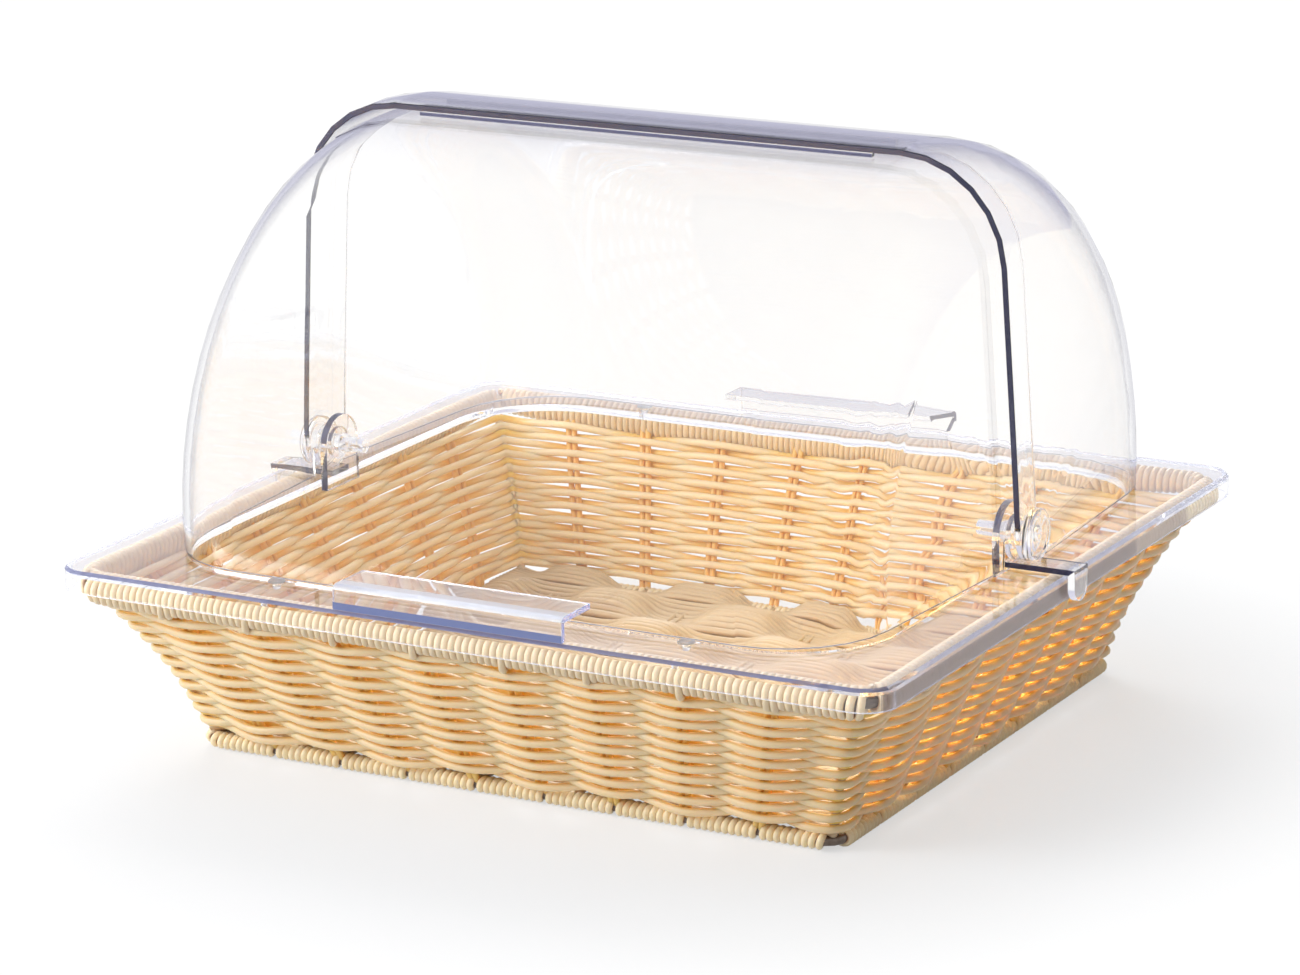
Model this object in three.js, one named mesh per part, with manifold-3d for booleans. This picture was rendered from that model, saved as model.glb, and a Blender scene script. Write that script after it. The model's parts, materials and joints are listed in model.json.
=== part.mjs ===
// Countertop bread display basket with a two-way roll-top cover.
// A woven basket on a steel wire frame carries a clear moulded frame. Two clear quarter shells, one
// nested in the other, turn on a pair of snap pins at the left and right of that frame.
// Millimetres, +X to the right, +Y to the back, +Z up. The origin is on the counter, under the middle.

import * as THREE from 'three';
import { mergeVertices } from 'three/addons/utils/BufferGeometryUtils.js';
import Module from 'manifold-3d';

const wasm = await Module();
wasm.setup();

// Driving dimensions

// Clearances
const seatGap = 0.3; // between pieces that touch on the real basket
const pinClearance = 0.3; // on the radius, between the hinge pin and its holes
const cutOverrun = 5; // how far every cutting solid runs past what it cuts

// Basket
const footLength = 282; // outside of the foot winding, along X
const footDepth = 248; // the same, along Y
const footWinding = 7.5; // diameter of the foot winding
const footFlat = 0.5; // depth of the flat that the foot winding is pressed to
const footCorner = 11; // outer corner radius of the foot, in plan
const rimLength = 347; // outside of the rim winding, along X
const rimDepth = 318; // the same, along Y
const rimWidth = 8; // rim winding, across
const rimHeight = 9.5; // rim winding, up and down
const rimTop = 75.5; // top of the rim winding above the counter
const rimCorner = 15; // outer corner radius of the rim, in plan
const strand = 3; // diameter of the woven strands
const strandBow = 2.9; // how far a strand's middle passes to either side of the wall's middle
const stakeWire = 2.6; // diameter of the upright strands that the rows pass
const wallRows = 22; // rows of strands in the wall
const baysAlongLength = 9; // spaces between the upright strands of the front or the back
const baysAlongDepth = 8; // the same on a side
const footCornerGap = 7; // bare wire at each corner of the foot, between its windings
const floorThickness = 4; // of the woven floor, at the edges of its pillows
const floorBow = 2.6; // how far a pillow rises or sinks in its middle
const floorBand = 26.5; // depth of a pillow, front to back
const hoopWire = 4; // diameter of the rim and foot hoops
const postWire = 3; // diameter of the corner posts
const floorWire = 2.4; // diameter of the floor bars
const floorBarsAcross = 3; // bars that run along Y
const floorBarsAlong = 2; // bars that run along X

// Clear frame on the rim
const skirtClearance = 1; // between the rim winding and the skirt
const frameThickness = 3;
const frameCorner = 13; // outer corner radius, in plan
const frameEdgeRound = 1.2; // rounding of its top edge
const skirtDrop = 9; // from the top of the frame to the bottom of its skirt
const skirtWall = 2.5;
const sideLedge = 26; // from the side of the frame in to the opening
const frontLedge = 25.3; // the same at the front and the back
const openingCorner = 41;

// Roll-top shells
const axisRise = 13; // of the hinge above the top of the frame
const shellOutside = 9; // of the back shell, the outer one, past the edge of the opening
const shellCorner = 44; // radius between its side and its curved top
const shellThickness = 2.4;
const shellSideLean = 0.06; // slope of the sides, in from the hinge to the top
const hubRadius = 12; // the sides are flat inside this radius
const nestRadial = 2.2; // free space between the shells at the top
const nestSide = 2.6; // free space between them at the hinge
const frontShellCorner = 42;
const overlapHalf = 11.4; // each shell runs this far past the middle
const hingeDiscRadius = 10.4; // rounded end of each side at the hinge
const overlapCornerRise = 8; // height above the hinge where the cut edge starts
const notchClear = 2.6; // between that rounded end and the side's lower part

// Stop ribs along the cut edges
const ribSetback = 17; // of a rib's end inside the start of the shell's round corner
const ribWidth = 2.4;
const ribDepth = 1.6;

// Grips
const gripHalfLength = 49;
const gripOut = 17; // from the back shell out to the face of either grip
const gripRise = 10.3; // of the grip's shelf above the top of the frame
const gripThickness = 2.4;
const gripRound = 2.8; // outer bend between shelf and plate
const gripBottomGap = 0.6; // from the frame's top up to the plate's lower edge

// Bumpers, pressed into the frame under the shells' feet
const bumperX = 88;
const bumperRadius = 3.25;
const bumperHeight = 0.9;
const bumperStemRadius = 1.2;
const bumperBarbRadius = 1.8;
const bumperBarbLength = 1.4;
const bumperOffset = 1.2; // of the bumper's centre outside the middle of the shell's foot

// Hinge brackets, pins and washers
const earHalfWidth = 12;
const earThickness = 3;
const earDrop = 4.5; // of the ear below the top of the frame
const earOpeningGap = 0.6; // between the ear and the edge of the opening
const bossRadius = 6.5;
const armHalfWidth = 6;
const armThickness = 2.2;
const tabThickness = 3;
const tabDrop = 10.6; // of the tab below the top of the frame
const pinRadius = 3;
const pinHeadRadius = 10.2;
const pinHeadThickness = 3;
const pinGrooveRadius = 7.2; // middle of the ring in the pin's head
const pinGrooveWidth = 1.2;
const pinGrooveDepth = 0.7;
const pinBarbRadius = 4.1;
const pinBarbLength = 2.6;
const pinTipLength = 11; // of the prongs that stand inside the ear
const pinSlot = 1.6; // between the two prongs
const washerRadius = 7;

// Facets
const lathePieces = 60;
const cornerPieces = 4;
const halfCornerPieces = 2; // from a side of the basket to the middle of its corner, in plan
const shellCornerPieces = 6;
const windingSides = 12;
const wireSides = 8;
const holePieces = 20;
const earPieces = 16;

// Sizes that follow

const frameLength = rimLength + 2 * (skirtClearance + skirtWall);
const frameDepth = rimDepth + 2 * (skirtClearance + skirtWall);
const openingLength = frameLength - 2 * sideLedge;
const openingDepth = frameDepth - 2 * frontLedge;
const shellHalfWidth = openingLength / 2 + shellOutside;
const shellRadius = openingDepth / 2 + shellOutside;
const gripReach = shellRadius + gripOut;
const ribHalfLength = shellHalfWidth - shellCorner - ribSetback;
const frameTop = rimTop + seatGap + frameThickness;
const axisHeight = frameTop + axisRise;
const gripTop = frameTop + gripRise;
const footTop = footWinding - footFlat;
const footAxisHeight = footWinding / 2 - footFlat;
const rimBottom = rimTop - rimHeight;
const frontShellRadius = shellRadius - shellThickness - nestRadial;
const frontShellHalfWidth = shellHalfWidth - shellThickness - nestSide;
const shellFoot = frameTop + seatGap + bumperHeight + seatGap;
const earInner = openingLength / 2 - earOpeningGap - earThickness;
const armHeight = frameTop + seatGap;

// Materials

const woven = new THREE.MeshStandardMaterial({ color: 0xe2c79c, roughness: 0.45, metalness: 0 });
const steel = new THREE.MeshStandardMaterial({ color: 0x6f6a66, roughness: 0.4, metalness: 0.9 });
const clear = new THREE.MeshStandardMaterial({
  color: 0xe9edf5, roughness: 0.08, metalness: 0, transparent: true, opacity: 0.35,
});
const frosted = new THREE.MeshStandardMaterial({
  color: 0xdfe4ec, roughness: 0.5, metalness: 0, transparent: true, opacity: 0.7,
});

// Solids and meshes

function toSolid(geometry) {
  const bare = geometry.clone();
  bare.deleteAttribute('normal');
  bare.deleteAttribute('uv');
  const merged = mergeVertices(bare);
  const corners = merged.index.array;
  const kept = [];
  for (let i = 0; i < corners.length; i += 3) {
    const [a, b, c] = [corners[i], corners[i + 1], corners[i + 2]];
    if (a !== b && b !== c && c !== a) kept.push(a, b, c);
  }
  return new wasm.Manifold(new wasm.Mesh({
    numProp: 3,
    vertProperties: merged.attributes.position.array,
    triVerts: Uint32Array.from(kept),
  }));
}

function toGeometry(solid) {
  const mesh = solid.getMesh();
  const geometry = new THREE.BufferGeometry();
  geometry.setAttribute('position', new THREE.BufferAttribute(mesh.vertProperties, mesh.numProp));
  geometry.setIndex(new THREE.BufferAttribute(mesh.triVerts, 1));
  return geometry;
}

function addMesh(group, name, solid, material) {
  const mesh = new THREE.Mesh(toGeometry(solid), material);
  mesh.name = name;
  group.add(mesh);
}

// A solid through a row of rings that have as many points each. The end rings are convex.
// A four-sided face with raised points is creased between its other two corners.
function loft(rings, closed = false) {
  const count = rings[0].length;
  const positions = rings.flat().flatMap((point) => point.toArray());
  const faces = [];
  const steps = closed ? rings.length : rings.length - 1;
  for (let i = 0; i < steps; i += 1) {
    const near = i * count;
    const far = ((i + 1) % rings.length) * count;
    for (let j = 0; j < count; j += 1) {
      const next = (j + 1) % count;
      const raised = rings[i][j].raised || rings[(i + 1) % rings.length][next].raised;
      if (raised) {
        faces.push(near + j, near + next, far + j, near + next, far + next, far + j);
      } else {
        faces.push(near + j, near + next, far + next, near + j, far + next, far + j);
      }
    }
  }
  if (!closed) {
    const last = (rings.length - 1) * count;
    for (let j = 1; j < count - 1; j += 1) {
      faces.push(0, j + 1, j, last, last + j, last + j + 1);
    }
  }
  const geometry = new THREE.BufferGeometry();
  geometry.setAttribute('position', new THREE.Float32BufferAttribute(positions, 3));
  geometry.setIndex(signedVolume(positions, faces) < 0 ? faces.reverse() : faces);
  return toSolid(geometry);
}

function signedVolume(positions, faces) {
  const corner = (k) => new THREE.Vector3().fromArray(positions, faces[k] * 3);
  let sum = 0;
  for (let k = 0; k < faces.length; k += 3) {
    sum += corner(k).dot(corner(k + 1).cross(corner(k + 2)));
  }
  return sum;
}

// A shape in the XY plane, raised from one height to another
function prism(shape, low, high, curveSegments = cornerPieces) {
  const geometry = new THREE.ExtrudeGeometry(shape, {
    depth: high - low, bevelEnabled: false, curveSegments,
  });
  geometry.translate(0, 0, low);
  return toSolid(geometry);
}

// A shape drawn in the YZ plane, run along X from one place to another
function barAlongX(shape, start, end, curveSegments = cornerPieces) {
  const geometry = new THREE.ExtrudeGeometry(shape, {
    depth: end - start, bevelEnabled: false, curveSegments,
  });
  geometry.translate(0, 0, start);
  geometry.rotateX(Math.PI / 2);
  geometry.rotateZ(Math.PI / 2);
  return toSolid(geometry);
}

function box(low, high) {
  const size = high.map((value, axis) => value - low[axis]);
  const geometry = new THREE.BoxGeometry(...size);
  geometry.translate(...low.map((value, axis) => value + size[axis] / 2));
  return toSolid(geometry);
}

// A cylinder or a turned profile lies along Z first, and then goes to its place
function rodAlongZ(radius, start, end, x, y, pieces = holePieces) {
  const geometry = new THREE.CylinderGeometry(radius, radius, end - start, pieces);
  return toSolid(geometry).rotate([90, 0, 0]).translate([x, y, (start + end) / 2]);
}

function rodAlongX(radius, start, end, y, z, pieces = holePieces) {
  return rodAlongZ(radius, start, end, 0, 0, pieces).rotate([0, 90, 0]).translate([0, y, z]);
}

function rodAlongY(radius, start, end, x, z, pieces = holePieces) {
  return rodAlongZ(radius, start, end, 0, 0, pieces).rotate([-90, 0, 0]).translate([x, 0, z]);
}

// Turned about Z, from [radius, height] pairs that start and end on the axis
function turnedProfile(pairs, pieces) {
  const profile = pairs.map(([radius, height]) => new THREE.Vector2(radius, height));
  return toSolid(new THREE.LatheGeometry(profile, pieces)).rotate([90, 0, 0]);
}

function roundedRectangle(halfLength, halfDepth, corner) {
  const shape = new THREE.Shape();
  shape.absarc(halfLength - corner, halfDepth - corner, corner, 0, Math.PI / 2);
  shape.absarc(corner - halfLength, halfDepth - corner, corner, Math.PI / 2, Math.PI);
  shape.absarc(corner - halfLength, corner - halfDepth, corner, Math.PI, 1.5 * Math.PI);
  shape.absarc(halfLength - corner, corner - halfDepth, corner, 1.5 * Math.PI, 2 * Math.PI);
  return shape;
}

// Points round a rectangle with rounded corners, with the outward direction at each, counterclockwise
function planPath(halfLength, halfDepth, corner) {
  const centres = [
    [halfLength - corner, halfDepth - corner],
    [corner - halfLength, halfDepth - corner],
    [corner - halfLength, corner - halfDepth],
    [halfLength - corner, corner - halfDepth],
  ];
  return centres.flatMap(([x, y], quarter) => {
    const points = [];
    for (let k = 0; k <= 2 * halfCornerPieces; k += 1) {
      const angle = (quarter + k / (2 * halfCornerPieces)) * (Math.PI / 2);
      const out = new THREE.Vector3(Math.cos(angle), Math.sin(angle), 0);
      points.push({ place: new THREE.Vector3(x, y, 0).addScaledVector(out, corner), out });
    }
    return points;
  });
}

// An oval section of the given half sizes, set across a path at one point
function ovalRing({ place, out }, height, halfAcross, halfUp, sides) {
  const ring = [];
  for (let k = 0; k < sides; k += 1) {
    const angle = ((k + 0.5) / sides) * 2 * Math.PI;
    const point = place.clone().addScaledVector(out, halfAcross * Math.cos(angle));
    point.z = height + halfUp * Math.sin(angle);
    ring.push(point);
  }
  return ring;
}

function hoop(path, height, radius) {
  return loft(path.map((point) => ovalRing(point, height, radius, radius, wireSides)), true);
}

function rodBetween(start, end, radius) {
  const length = start.distanceTo(end);
  const up = new THREE.Vector3(0, 0, 1);
  const turn = new THREE.Quaternion().setFromUnitVectors(up, end.clone().sub(start).normalize());
  const place = new THREE.Matrix4().compose(start, turn, new THREE.Vector3(1, 1, 1));
  return rodAlongZ(radius, 0, length, 0, 0, wireSides).transform(place.toArray());
}

// Lines that the windings and hoops follow

const rimPath = planPath(
  (rimLength - rimWidth) / 2, (rimDepth - rimWidth) / 2, rimCorner - rimWidth / 2,
);
const footPath = planPath(
  (footLength - footWinding) / 2, (footDepth - footWinding) / 2, footCorner - footWinding / 2,
);
const rimAxisHeight = rimTop - rimHeight / 2;

// The middle of each corner, from the back right corner counterclockwise
function cornerPoint(path, quarter, height) {
  const point = path[quarter * (2 * halfCornerPieces + 1) + halfCornerPieces].place.clone();
  point.z = height;
  return point;
}

// Floor bars: even places between the two long or short sides of the foot
function evenPlaces(count, span) {
  return Array.from({ length: count }, (_, k) => span * ((k + 1) / (count + 1) - 1 / 2));
}
const barsAcross = evenPlaces(floorBarsAcross, footLength);
const barsAlong = evenPlaces(floorBarsAlong, footDepth);
const footAxisX = (footLength - footWinding) / 2;
const footAxisY = (footDepth - footWinding) / 2;
const sideBays = [baysAlongLength, baysAlongDepth, baysAlongLength, baysAlongDepth];
const cornerShare = 1 / 4; // of a bay, where the wall's round corner runs out

function floorBars(radius, pieces) {
  return [
    ...barsAcross.map((x) => rodAlongY(radius, -footAxisY, footAxisY, x, footAxisHeight, pieces)),
    ...barsAlong.map((y) => rodAlongX(radius, -footAxisX, footAxisX, y, footAxisHeight, pieces)),
  ];
}

function unite(solids) {
  return solids.reduce((whole, solid) => whole.add(solid));
}

// Wire frame: rim hoop, foot hoop, corner posts and floor bars, welded into one
function wireFrame() {
  const posts = [0, 1, 2, 3].map((quarter) => rodBetween(
    cornerPoint(footPath, quarter, footAxisHeight),
    cornerPoint(rimPath, quarter, rimAxisHeight),
    postWire / 2,
  ));
  return unite([
    hoop(rimPath, rimAxisHeight, hoopWire / 2),
    hoop(footPath, footAxisHeight, hoopWire / 2),
    ...posts,
    ...floorBars(floorWire / 2, wireSides),
  ]);
}

// Gaps along the four posts, which part the windings and the walls into sides
function cornerGaps(halfGap) {
  return [0, 1, 2, 3].map((quarter) => {
    const low = cornerPoint(footPath, quarter, 0);
    const high = cornerPoint(rimPath, quarter, frameTop);
    const along = new THREE.Vector3(Math.sign(low.x), Math.sign(low.y), 0).normalize();
    const side = new THREE.Vector3(-along.y, along.x, 0).multiplyScalar(halfGap);
    const reach = along.clone().multiplyScalar(footCorner + rimCorner);
    const ring = (point) => [
      point.clone().add(side).add(reach),
      point.clone().sub(side).add(reach),
      point.clone().sub(side).sub(reach),
      point.clone().add(side).sub(reach),
    ];
    return loft([ring(low), ring(high)]);
  });
}

// The four sides of a solid that runs all the way round
const sideNames = ['back', 'left', 'front', 'right'];
function splitSides(whole, halfGap = postWire / 2 + seatGap) {
  const parted = cornerGaps(halfGap).reduce((solid, gap) => solid.subtract(gap), whole);
  const bodies = parted.decompose();
  const middle = (body) => {
    const { min, max } = body.boundingBox();
    return [(min[0] + max[0]) / 2, (min[1] + max[1]) / 2];
  };
  const score = {
    back: ([, y]) => y,
    left: ([x]) => -x,
    front: ([, y]) => -y,
    right: ([x]) => x,
  };
  return Object.fromEntries(sideNames.map((name) => {
    const best = bodies.reduce((a, b) => (
      score[name](middle(a)) >= score[name](middle(b)) ? a : b
    ));
    return [name, best];
  }));
}

function rimWindings() {
  const halfHeight = rimHeight / 2;
  const ring = (point) => ovalRing(point, rimAxisHeight, rimWidth / 2, halfHeight, windingSides);
  const bore = hoop(rimPath, rimAxisHeight, hoopWire / 2 + seatGap);
  return splitSides(loft(rimPath.map(ring), true).subtract(bore));
}

function footWindings() {
  const radius = footWinding / 2;
  const ring = (point) => ovalRing(point, footAxisHeight, radius, radius, windingSides);
  const below = box([-footLength, -footDepth, -footWinding], [footLength, footDepth, 0]);
  const bore = hoop(footPath, footAxisHeight, hoopWire / 2 + seatGap);
  const whole = unite([bore, ...floorBars(floorWire / 2 + seatGap, wireSides)]);
  const winding = loft(footPath.map(ring), true).subtract(below).subtract(whole);
  return splitSides(winding, footCornerGap / 2);
}

// A place on the middle of the wall: a side, how many bays along it, and a height.
// Sides go round from the back, counterclockwise, and start and end in the middle of a corner.
function wallPlace(side, bay, height) {
  const share = (height - footAxisHeight) / (rimAxisHeight - footAxisHeight);
  const between = (low, high) => low + share * (high - low);
  const halfX = between(footAxisX, (rimLength - rimWidth) / 2);
  const halfY = between(footAxisY, (rimDepth - rimWidth) / 2);
  const corner = between(footCorner - footWinding / 2, rimCorner - rimWidth / 2);
  const [across, deep] = side % 2 === 0 ? [halfX, halfY] : [halfY, halfX];
  const straight = 2 * (across - corner);
  const arc = corner * (Math.PI / 4);
  const run = (bay / sideBays[side]) * (straight + 2 * arc);
  const turned = Math.min(run, arc) + Math.max(run - arc - straight, 0);
  const middle = Math.min(Math.max(run - arc, 0), straight);
  const angle = Math.PI / 4 + turned / corner;
  const out = new THREE.Vector3(Math.cos(angle), Math.sin(angle), 0);
  const place = new THREE.Vector3(straight / 2 - middle, deep - corner, height)
    .addScaledVector(out, corner);
  const up = new THREE.Vector3(0, 0, 1);
  const turn = side * (Math.PI / 2);
  return { place: place.applyAxisAngle(up, turn), out: out.applyAxisAngle(up, turn) };
}

// Woven wall: at each upright strand, every second row bows out over it and the others bow in
function wallSides() {
  const low = footTop + seatGap;
  const high = rimBottom - seatGap;
  const rise = (high - low - strand) / (wallRows - 1);
  const rows = Array.from({ length: wallRows }, (_, row) => ({
    row, height: low + strand / 2 + rise * row,
  }));
  const levels = [
    { row: 0, height: low }, ...rows, { row: wallRows - 1, height: high },
  ];
  const bowed = strandBow + strand / 2;
  const flat = stakeWire / 2;
  const sections = sideBays.flatMap((bays, side) => {
    const first = sideBays.slice(0, side).reduce((sum, count) => sum + count, 0);
    const places = [0, cornerShare, ...Array.from({ length: bays - 1 }, (_, k) => k + 1),
      bays - cornerShare];
    return places.map((bay) => {
      const upright = first + Math.round(bay);
      const face = ({ row, height }, direction) => {
        const outside = (upright + row) % 2 === 0;
        const raised = outside === direction > 0;
        const { place, out } = wallPlace(side, bay, height);
        place.addScaledVector(out, direction * (raised ? bowed : flat));
        return Object.assign(place, { raised });
      };
      return [
        ...levels.map((level) => face(level, 1)),
        ...levels.toReversed().map((level) => face(level, -1)),
      ];
    });
  });
  return splitSides(loft(sections, true));
}

// Woven floor, laid on the floor bars inside the foot: bands of strands that pass over one
// upright and under the next, which makes pillows that rise and sink in turn
function floorWeave() {
  const low = footAxisHeight + floorWire / 2 + seatGap;
  const inset = footWinding + seatGap;
  const shape = roundedRectangle(
    footLength / 2 - inset, footDepth / 2 - inset, footCorner / 2,
  );
  const halfBay = footAxisX / baysAlongLength;
  const halfBand = floorBand / 2;
  const bands = Math.ceil(footDepth / floorBand);
  const steps = (count) => Array.from({ length: 2 * count + 1 }, (_, k) => k - count);
  const odd = (k) => Math.abs(k % 2) === 1;
  const rows = steps(bands).map((j) => {
    const line = steps(baysAlongLength + 1).map((i) => {
      const sign = ((i - 1) / 2 + (j - 1) / 2) % 2 === 0 ? 1 : -1;
      const bow = odd(i) && odd(j) ? sign * floorBow : 0;
      return new THREE.Vector3(i * halfBay, j * halfBand, low + floorThickness + bow);
    });
    const ends = [line.at(-1), line[0]].map((point) => point.clone().setZ(low));
    return [...line, ...ends];
  });
  return loft(rows).intersect(prism(shape, low, low + floorThickness + 2 * floorBow));
}

// Clear frame: a flat ring on the rim, with a skirt that drops outside it
function coverFrame() {
  const outline = roundedRectangle(frameLength / 2, frameDepth / 2, frameCorner);
  const body = prism(outline, frameTop - skirtDrop, frameTop - frameEdgeRound);
  const topInset = roundedRectangle(
    frameLength / 2 - frameEdgeRound, frameDepth / 2 - frameEdgeRound,
    frameCorner - frameEdgeRound,
  );
  const ring = (shape, height) => shape.extractPoints(cornerPieces).shape
    .slice(0, -1)
    .map((point) => new THREE.Vector3(point.x, point.y, height));
  const crown = loft([ring(outline, frameTop - frameEdgeRound), ring(topInset, frameTop)]);
  const hollow = prism(
    roundedRectangle(
      frameLength / 2 - skirtWall, frameDepth / 2 - skirtWall, frameCorner - skirtWall,
    ),
    frameTop - skirtDrop - cutOverrun, frameTop - frameThickness,
  );
  const opening = prism(
    roundedRectangle(openingLength / 2, openingDepth / 2, openingCorner),
    frameTop - skirtDrop - cutOverrun, frameTop + cutOverrun, shellCornerPieces,
  );
  const holes = bumperPlaces.map(({ x, y }) => rodAlongZ(
    bumperStemRadius + seatGap, frameTop - frameThickness - cutOverrun, frameTop + cutOverrun, x, y,
  ));
  return holes.reduce((solid, hole) => solid.subtract(hole),
    body.add(crown).subtract(hollow).subtract(opening));
}

// Where the shells' feet meet the counter side of the cover
function footY(radius) {
  const drop = axisHeight - shellFoot;
  return Math.sqrt(radius ** 2 - drop ** 2) - shellThickness / 2;
}
const bumperPlaces = [
  { name: 'bumper_front_left', x: -bumperX, y: -footY(frontShellRadius) - bumperOffset },
  { name: 'bumper_front_right', x: bumperX, y: -footY(frontShellRadius) - bumperOffset },
  { name: 'bumper_back_left', x: -bumperX, y: footY(shellRadius) + bumperOffset },
  { name: 'bumper_back_right', x: bumperX, y: footY(shellRadius) + bumperOffset },
];

function bumper(x, y) {
  const below = frameTop - frameThickness - seatGap;
  const profile = [
    [0, below - bumperBarbLength],
    [bumperStemRadius, below - bumperBarbLength],
    [bumperBarbRadius, below],
    [bumperStemRadius, below],
    [bumperStemRadius, frameTop + seatGap],
    [bumperRadius, frameTop + seatGap],
    [bumperRadius, frameTop + seatGap + bumperHeight / 2],
    [bumperRadius - bumperHeight / 2, frameTop + seatGap + bumperHeight],
    [0, frameTop + seatGap + bumperHeight],
  ];
  return turnedProfile(profile, holePieces).translate([x, y, 0]);
}

// A body turned about the hinge line: flat hubs, sides that lean in, and round corners
function rollBody(radius, halfWidth, corner) {
  const lean = Math.atan(shellSideLean);
  const centreRadius = radius - corner;
  const centreX = halfWidth - shellSideLean * (centreRadius - hubRadius) - corner / Math.cos(lean);
  const half = [[0, halfWidth], [hubRadius, halfWidth]];
  for (let k = 0; k <= shellCornerPieces; k += 1) {
    const angle = lean + (k / shellCornerPieces) * (Math.PI / 2 - lean);
    half.push([centreRadius + corner * Math.sin(angle), centreX + corner * Math.cos(angle)]);
  }
  const mirrored = half.map(([r, x]) => [r, -x]);
  return turnedProfile([...mirrored, ...half.reverse()], lathePieces)
    .rotate([0, 90, 0])
    .translate([0, 0, axisHeight]);
}

// Side view of a shell that covers the -Y side, from its foot up and over the middle.
// The shape's x is the object's Y, and its y is the height above the hinge.
function shellOutline(toBack) {
  const far = shellRadius + cutOverrun;
  const foot = shellFoot - axisHeight;
  const points = new THREE.Shape();
  points.moveTo(overlapHalf, far);
  points.lineTo(overlapHalf, overlapCornerRise);
  points.absarc(0, 0, hingeDiscRadius, 0, -Math.PI, true);
  points.lineTo(-hingeDiscRadius - notchClear, 0);
  points.lineTo(-hingeDiscRadius - notchClear, foot);
  points.lineTo(-far, foot);
  points.lineTo(-far, far);
  const outline = points.extractPoints(earPieces).shape;
  return new THREE.Shape(outline.map((p) => new THREE.Vector2(toBack ? -p.x : p.x, p.y)));
}

function rollShell(radius, halfWidth, corner, toBack) {
  const walls = rollBody(radius, halfWidth, corner).subtract(rollBody(
    radius - shellThickness, halfWidth - shellThickness, corner - shellThickness,
  ));
  const keep = barAlongX(shellOutline(toBack), -halfWidth - cutOverrun, halfWidth + cutOverrun)
    .translate([0, 0, axisHeight]);
  const hole = rodAlongX(
    pinRadius + pinClearance, -halfWidth - cutOverrun, halfWidth + cutOverrun, 0, axisHeight,
  );
  return walls.intersect(keep).subtract(hole);
}

// Stop rib: a strip along the straight part of a shell's cut edge.
// The back shell's hangs inside, and the front shell's stands outside, so that they can meet.
function stopRib(edgeY, seatRadius, outward) {
  const edge = Math.abs(edgeY);
  const inner = edge - ribWidth;
  const lowRadius = outward ? seatRadius + seatGap : seatRadius - seatGap - ribDepth;
  const heightAt = (radius, y) => Math.sqrt(radius ** 2 - y ** 2);
  const points = [
    [edge, heightAt(lowRadius, edge)],
    [edge, heightAt(lowRadius + ribDepth, edge)],
    [inner, heightAt(lowRadius + ribDepth, inner)],
    [inner, heightAt(lowRadius, inner)],
  ];
  const side = Math.sign(edgeY);
  const shape = new THREE.Shape(points.map(([y, z]) => new THREE.Vector2(side * y, z)));
  return barAlongX(shape, -ribHalfLength, ribHalfLength).translate([0, 0, axisHeight]);
}

// Grip: a shelf out from the shell and a plate down from it, bent from one strip
function grip(radius, toBack) {
  const seat = radius + seatGap;
  const low = frameTop + gripBottomGap;
  const innerRound = gripRound - gripThickness;
  const shape = new THREE.Shape();
  shape.moveTo(seat, gripTop - gripThickness);
  shape.lineTo(gripReach - gripRound, gripTop - gripThickness);
  shape.absarc(gripReach - gripRound, gripTop - gripRound, innerRound, Math.PI / 2, 0, true);
  shape.lineTo(gripReach - gripThickness, low);
  shape.lineTo(gripReach, low);
  shape.absarc(gripReach - gripRound, gripTop - gripRound, gripRound, 0, Math.PI / 2);
  shape.lineTo(seat, gripTop);
  const side = toBack ? 1 : -1;
  const outline = shape.extractPoints(cornerPieces).shape;
  const turned = new THREE.Shape(outline.map((p) => new THREE.Vector2(side * p.x, p.y)));
  return barAlongX(turned, -gripHalfLength, gripHalfLength);
}

// Bracket on the right: an ear inside the opening, an arm over the frame and a tab down its skirt
function bracket() {
  const earOuter = earInner + earThickness;
  const earShape = new THREE.Shape();
  earShape.moveTo(-earHalfWidth, frameTop - earDrop);
  earShape.lineTo(earHalfWidth, frameTop - earDrop);
  earShape.absarc(0, axisHeight, earHalfWidth, 0, Math.PI);
  const ear = barAlongX(earShape, earInner, earOuter, earPieces);
  const bossEnd = frontShellHalfWidth - shellThickness - seatGap;
  const boss = rodAlongX(bossRadius, earInner, bossEnd, 0, axisHeight);
  const tabInner = frameLength / 2 + seatGap;
  const tabOuter = tabInner + tabThickness;
  const arm = box(
    [earInner, -armHalfWidth, armHeight], [tabOuter, armHalfWidth, armHeight + armThickness],
  );
  const tabShape = new THREE.Shape();
  tabShape.moveTo(armHalfWidth, armHeight + armThickness);
  tabShape.lineTo(-armHalfWidth, armHeight + armThickness);
  tabShape.absarc(0, frameTop - tabDrop + armHalfWidth, armHalfWidth, Math.PI, 2 * Math.PI);
  const tab = barAlongX(tabShape, tabInner, tabOuter, earPieces);
  const hole = rodAlongX(
    pinRadius + pinClearance, earInner - cutOverrun, earOuter + cutOverrun, 0, axisHeight,
  );
  return unite([ear, boss, arm, tab]).subtract(hole);
}

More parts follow.
